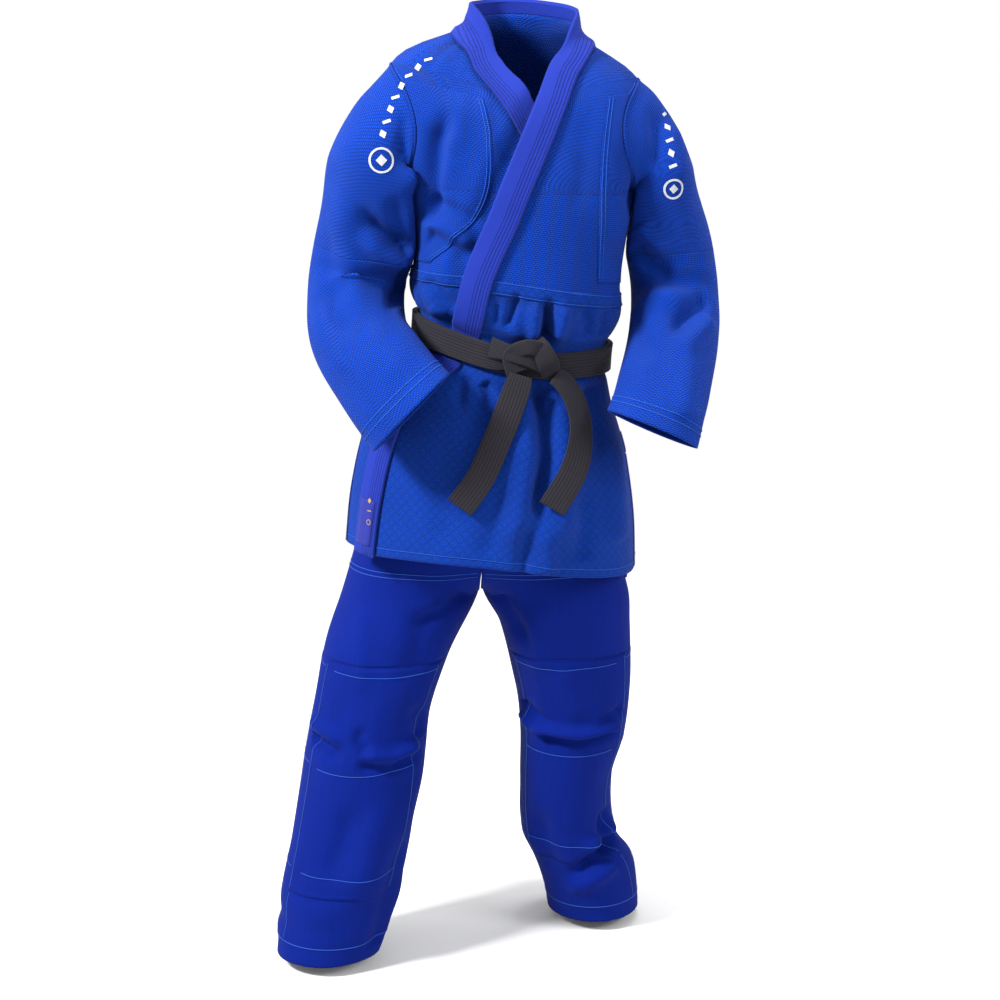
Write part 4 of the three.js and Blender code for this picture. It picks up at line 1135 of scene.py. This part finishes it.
# ---- belt ----
def belt_wrap(name, lift, node, squeeze=0.0):
    """One turn of the belt; squeeze narrows it where the knot pulls it together."""
    angle = np.linspace(-math.pi, math.pi, 240 // COARSE, endpoint=False)[None]
    k = np.linspace(-0.5, 0.5, 15)[:, None]
    near = squeeze * np.exp(-(((angle - angle_at(-16, BELT_LEVEL)) / 0.17) ** 2))
    level = BELT_LEVEL + k * BELT_WIDTH * (1 - near)
    crown = 0.9 * (1 - (2 * k) ** 4) + 2.5 * near
    points = trunk(angle, level) + trunk_normal(angle, level) * (lift + BELT_CLOTH + crown)[..., None]
    along = lengths_along(np.concatenate([points, points[:, :1]], 1), 1)[7] / 1000
    uv = np.stack(np.broadcast_arrays(BELT_WIDTH / 1000 * k, along[None]), -1)
    obj = shell(name, points, BELT_CLOTH, BELT, 1, True, uv)
    finish_piece(obj, on_trunk, node, held="stretched")


belt_wrap("belt_inner", 2.2, "belt_inner_wrap")
belt_wrap("belt_outer", 7.2, "belt_outer_wrap", 0.42)


def strap(name, rows, body, *nodes, steps=60, held="folded"):
    """A strip of belt in front of the trunk: rows of share, x, z, distance out, width, thickness, roll."""
    x, z, out, width, thick, roll = profile(*rows)(np.linspace(0, 1, steps // COARSE))
    level = z + (z - trunk(angle_at(x, z), z)[..., 2])
    y = trunk(angle_at(x, z), level)[..., 1] - out
    centre = np.stack([x, y, z], -1)
    along = unit(np.gradient(centre, axis=0))
    side = unit(np.cross(along, (0, -1, 0)))
    normal = np.cross(side, along)
    turn = roll[:, None] * DEG
    side, normal = side * np.cos(turn) + normal * np.sin(turn), normal * np.cos(turn) - side * np.sin(turn)
    phi = np.linspace(0, 2 * math.pi, 28, endpoint=False)
    soft = lambda c: np.sign(c) * np.abs(c) ** 0.5
    a, b = soft(np.cos(phi)) / 2, soft(np.sin(phi)) / 2
    points = centre[:, None] + side[:, None] * (width[:, None] * a)[..., None]
    points = points + normal[:, None] * (thick[:, None] * b)[..., None]
    n, m = points.shape[:2]
    distance = lengths_along(points, 0)[:, 0] / 1000
    verts = np.concatenate([points.reshape(-1, 3), centre[[0, -1]]])
    faces, uvs = [], []
    flat_u = a * BELT_WIDTH / 1000
    for c in range(m):
        d = (c + 1) % m
        u, w = flat_u[c], flat_u[d]
        for r in range(n - 1):
            low, high = distance[r], distance[r + 1]
            faces.append((r * m + c, (r + 1) * m + c, (r + 1) * m + d, r * m + d))
            uvs += [(u, low), (u, high), (w, high), (w, low)]
        faces += [(n * m, c, d), (n * m + 1, (n - 1) * m + d, (n - 1) * m + c)]
        uvs += [(0, 0), (u, 0), (w, 0), (0, distance[-1]), (w, distance[-1]), (u, distance[-1])]
    obj = make_object(name, to_frame(verts), faces, uvs, BELT)
    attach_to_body(obj, body)
    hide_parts(*nodes)


strap("belt_tail_right", (
    (0, -2, 1024, 23, 36, 4.4, 0), (0.1, -7, 1008, 24, 42, 4.4, 0), (0.3, -22, 968, 23, 45, 4.4, 4),
    (0.5, -40, 925, 19, 45, 4.4, 6), (0.75, -66, 868, 17, 45, 4.4, 0), (1, -98, 822, 15, 45, 4.4, -4),
), "right_tail", "belt_right_tail", held="hung")
strap("belt_tail_left", (
    (0, 50, 1022, 26, 28, 4.4, 14), (0.1, 65, 1011, 29, 34, 4.4, 27), (0.25, 82, 984, 29, 40, 4.4, 38),
    (0.45, 92, 938, 27, 43, 4.4, 35), (0.7, 82, 880, 23, 45, 4.4, 12), (1, 46, 818, 16, 45, 4.4, 0),
), "left_tail", "belt_left_tail", held="hung")
strap("knot_front", (
    (0, -50, 1066, 12, 34, 5, 0), (0.25, -26, 1060, 19, 27, 9, 0), (0.55, 6, 1051, 24, 26, 12, 0),
    (0.85, 36, 1040, 22, 30, 11, 0), (1, 50, 1034, 14, 28, 6, 0),
), "trunk", "knot_core")
strap("knot_top", (
    (0, -8, 1027, 19, 36, 5, 0), (0.22, -17, 1054, 19, 28, 9, -8), (0.5, 6, 1069, 27, 24, 10, 0),
    (0.75, 28, 1064, 25, 26, 10, 0), (1, 40, 1046, 14, 28, 6, 0),
), "trunk", "knot_right_bight")
strap("knot_side", (
    (0, 20, 1076, 13, 28, 6, 0), (0.3, 30, 1064, 27, 32, 12, 0), (0.6, 39, 1045, 32, 34, 14, 0),
    (1, 46, 1024, 20, 32, 6, 8),
), "trunk", "knot_left_bight")

# ---- stitching ----
def row_on(name, surface, attach, material, points, steps=90, width=1.0, lift=0.4):
    """A row of stitches through given (u, v) places on a surface."""
    points = np.array(points, float)
    key = np.linspace(0, 1, len(points))
    u, v = profile(*np.column_stack([key, points]))(np.linspace(0, 1, steps // COARSE))
    stitch_row(name, surface, u, v, attach, material, lift, width)


def lifted(surface, height, under=False):
    """A surface moved out, and where under is set in again below the left front."""
    return lambda a, l, lift=0.0: surface(a, l, lift + height + (underlap(a, l) if under else 0))


def level_row(name, from_angle, to_angle, level, places, steps, height, under=False):
    """A level row of stitches on the jacket."""
    points = [(mix(from_angle, to_angle, t), level) for t in np.linspace(0, 1, places)]
    row_on(f"stitch_{name}", lifted(jacket, height, under), on_trunk, BLUE_THREAD, points, steps)


BACK_FROM, BACK_TO = 90.5 * DEG, 269.5 * DEG
for k, offset in enumerate((2.5, 7.5)):
    for name, side in SIDES:
        row_on(f"stitch_chest_{name}_{k}", lifted(jacket, 1.5, side < 0), on_trunk, BLUE_THREAD,
               [(angle_at(CHEST_EDGE[name](l)[0] + side * offset, l), l) for l in np.linspace(1180, 1462, 12)])
for k, level in enumerate((SEAM - 7, SEAM + 7)):
    edge = lapel_angle(1, level)
    level_row(f"waist_left_{k}", edge + 0.16, 89.5 * DEG, level, 9, 120, 1.4)
    level_row(f"waist_right_{k}", -89.5 * DEG, edge - 0.14, level, 9, 90, 1.4, True)
    level_row(f"waist_back_{k}", BACK_FROM, BACK_TO, level, 13, 160, 1.4)
level = HEM_LEVEL + 14
edge = lapel_angle(1, level)
level_row("hem_left", edge + 0.1, skirt_edge(1)(level), level, 11, 160, 0.1)
level_row("hem_right", skirt_edge(-1)(level), edge - 0.1, level, 5, 60, 0.1, True)
level_row("hem_back", BACK_FROM, BACK_TO, level, 13, 180, 0.1)
for name, side in SIDES:
    row_on(f"stitch_armhole_{name}", lifted(jacket, 0.1, side < 0), on_trunk, BLUE_THREAD,
           [(side_edge(side)(l) - side * 0.03, l) for l in np.linspace(1312, 1480, 12)])
    for k, s in enumerate((0.945, 0.962)):
        row_on(f"stitch_cuff_{name}_{k}", sleeve(name), ATTACH[f"{name}_elbow"], BLUE_THREAD,
               [(t * DEG, s) for t in range(0, 361, 15)], 150, 1.2)

    surface, hip, knee = leg(name), ATTACH[f"{name}_hip"], ATTACH[f"{name}_knee"]
    on_patch = lifted(surface, 1.6)
    bowed = lambda turns, level, bow: [(t * DEG, level - bow * math.cos((t + 90) * DEG)) for t in turns]
    upright = lambda turn, low, high, places: [(turn * DEG, l) for l in np.linspace(low, high, places)]
    for k, level in enumerate((692, 684)):
        row_on(f"stitch_thigh_{name}_{k}", surface, hip, PALE_THREAD, bowed(range(-176, 1, 16), level, 0), 110)
    for row, on, attach, points, steps, width in (
        ("knee_{}_0", on_patch, knee, bowed(range(-148, -31, 13), 526, 8), 100, 1.0),
        ("knee_side_{}_0", surface, knee, bowed(range(-27, 14, 8), 526, 8), 40, 1.0),
        ("knee_{}_1", on_patch, knee, bowed(range(-148, -31, 13), 362, 10), 100, 1.0),
        ("knee_side_{}_1", surface, knee, bowed(range(-27, 14, 8), 362, 10), 40, 1.0),
        ("knee_{}_2", on_patch, knee, bowed(range(-148, -31, 13), 182, 8), 100, 1.0),
        ("knee_side_{}_2", surface, knee, bowed(range(-27, 14, 8), 182, 8), 40, 1.0),
        ("patch_{}_0", on_patch, knee, upright(-148, 144, 528, 14), 120, 1.0),
        ("patch_{}_1", on_patch, knee, upright(-32, 144, 528, 14), 120, 1.0),
        ("shin_{}", surface, knee, upright(-32, 56, 136, 4), 30, 1.0),
        ("trouser_hem_{}", surface, knee, bowed(range(-180, 181, 15), 52, 0), 150, 1.2),
        ("side_{}", surface, knee, upright(4, 24, 532, 16), 140, 1.0),
    ):
        row_on("stitch_" + row.format(name), on, attach, PALE_THREAD, points, steps, width)


# ---- embroidery and label marks ----
def decal(name, shapes, targets, attach, material, lift=0.8):
    """Small flat shapes laid on other pieces. Each shape is a place (x, z), a tilt and its polygons, in mm."""
    verts, faces, uvs = [], [], []
    for (x, z), tilt, polygons in shapes:
        start, ahead = Vector(in_frame(x, -900, z)), Vector((0, 1, 0))
        hits = [t.ray_cast(start, ahead) for t in targets]
        hits = [h for h in hits if h[0]]
        if not hits:
            continue
        _, place, normal, _ = min(hits, key=lambda h: (h[1] - start).length)
        up = (Vector((0, 0, 1)) - normal * normal.z).normalized()
        right = up.cross(normal)
        c, s = math.cos(tilt * DEG), math.sin(tilt * DEG)
        right, up = right * c + up * s, up * c - right * s
        for polygon in polygons:
            outer, inner = [], []
            for a, b in polygon:
                point = place + (right * a + up * b) / 1000
                found = [t.ray_cast(point + normal * 0.02, -normal, distance=0.04) for t in targets]
                found = [h[1] for h in found if h[0]]
                if found:
                    point = min(found, key=lambda p: (p - point - normal * 0.02).length)
                outer.append(point + normal * (lift / 1000))
                inner.append(point - normal * 0.0002)
            n, base = len(polygon), len(verts)
            verts += outer + inner
            flat = [(a / 1000, b / 1000) for a, b in polygon]
            faces.append(tuple(range(base, base + n)))
            faces.append(tuple(range(base + 2 * n - 1, base + n - 1, -1)))
            uvs += flat + flat[::-1]
            for k in range(n):
                j = (k + 1) % n
                faces.append((base + j, base + k, base + n + k, base + n + j))
                uvs += [flat[j], flat[k], flat[k], flat[j]]
    obj = make_object(name, verts, faces, uvs, material, smooth_faces=0)
    attach(obj)
    return obj


def hoop(radius, band, parts=24):
    polygons = []
    for k in range(parts):
        a, b = 2 * math.pi * k / parts, 2 * math.pi * (k + 1) / parts
        ring = [(radius, a), (radius, b), (radius - band, b), (radius - band, a)]
        polygons.append([(r * math.cos(t), r * math.sin(t)) for r, t in ring])
    return polygons


def bar(wide, high):
    x, z = wide / 2, high / 2
    return [[(-x, -z), (x, -z), (x, z), (-x, z)]]


def lozenge(wide, high):
    x, z = wide / 2, high / 2
    return [[(0, -z), (x, 0), (0, z), (-x, 0)]]


bpy.context.view_layer.update()
for name, ring, wide, marks, line in (
    ("right", (-218, 1352), 20, 8, ((-146, 1504), (-178, 1478), (-200, 1440), (-214, 1398), (-218, 1384))),
    ("left", (237, 1306), 16.5, 5, ((224, 1420), (229, 1392), (232, 1364), (236, 1334))),
):
    under = (f"sleeve_upper_{name}", f"jacket_{name}_front", f"chest_{name}", f"armhole_welt_{name}")
    targets = [bpy.data.objects[piece] for piece in under]
    steps = np.hypot(*np.diff(np.array(line, float), axis=0).T)
    line = profile(*np.column_stack([np.concatenate([[0], np.cumsum(steps)]), line]))
    shapes = [(ring, 0, hoop(wide, 3.2)), (ring, 0, lozenge(wide * 0.9, wide * 0.9))]
    for k, t in enumerate(np.linspace(0, steps.sum() - 8, marks)):
        x, z = line(t)
        shapes.append(((x, z), 20, lozenge(12, 15) if k % 2 else bar(13, 5)))
    badge = decal(f"badge_{name}", shapes, targets, ATTACH[f"{name}_shoulder"], WHITE)
    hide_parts(f"{name}_shoulder_badge")
low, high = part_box("lapel_label")
cx, base = 500 * (low[0] + high[0]), 1000 * low[2] + NECK_HEIGHT
tall = 1000 * (high[2] - low[2])
marks = (
    (2, 0.8, bar(9, 2.2)), (2, 0.72, bar(5, 2.2)), (1, 0.6, lozenge(8, 9)), (0, 0.44, bar(9, 1.6)),
    (-1, 0.26, hoop(4.5, 1.1, 14)),
)
marks = [((cx + aside, base + tall * share), 0, shape) for aside, share, shape in marks]
decal("label_marks", marks, [label], on_trunk, GOLD, 0.4)


# ---- camera, light and floor ----
def aim(obj, target):
    obj.rotation_mode = "QUATERNION"
    obj.rotation_quaternion = (Vector(target) - obj.location).to_track_quat("-Z", "Y")


camera = bpy.data.objects.new("camera", bpy.data.cameras.new("camera"))
bpy.context.collection.objects.link(camera)
camera.location = in_frame(-35, -3200, 1500)
camera.rotation_euler = (math.radians(90 - 12.5), 0, 0)
camera.data.sensor_width = 36
camera.data.lens = 71.1
bpy.context.scene.camera = camera

ROUND, REACH, BEHIND = 96, 2.4, 0.3
turns = np.linspace(0, 2 * math.pi, ROUND, endpoint=False)
disc = [(REACH * math.cos(t), BEHIND + REACH * math.sin(t), FLOOR) for t in turns]
floor_mesh = make_object("floor", disc, [tuple(range(ROUND))], smooth_faces=0)
floor_material = bpy.data.materials.new("floor")
floor_material.use_nodes = True
floor_shader = floor_material.node_tree.nodes["Principled BSDF"]
floor_shader.inputs["Base Color"].default_value = (0.62, 0.62, 0.62, 1)
floor_shader.inputs["Roughness"].default_value = 0.6
floor_mesh.data.materials.append(floor_material)

world = bpy.data.worlds.new("studio")
bpy.context.scene.world = world
world.use_nodes = True
backdrop = world.node_tree.nodes["Background"]
backdrop.inputs["Color"].default_value = (1, 1, 1, 1)
backdrop.inputs["Strength"].default_value = 1.0


def lamp(name, place, size, energy, target=(0, 0, -0.6)):
    light = bpy.data.objects.new(name, bpy.data.lights.new(name, "AREA"))
    light.data.shape = "SQUARE"
    light.data.size = size
    light.data.energy = energy
    light.location = place
    aim(light, target)
    bpy.context.collection.objects.link(light)


lamp("key", (-2.6, -1.6, 1.7), 0.7, 400)
lamp("fill", (2.6, -1.6, 0.8), 1.2, 80)
lamp("top", (0.3, 0.2, 2.4), 1.0, 80)
bpy.context.scene.view_settings.view_transform = "Standard"
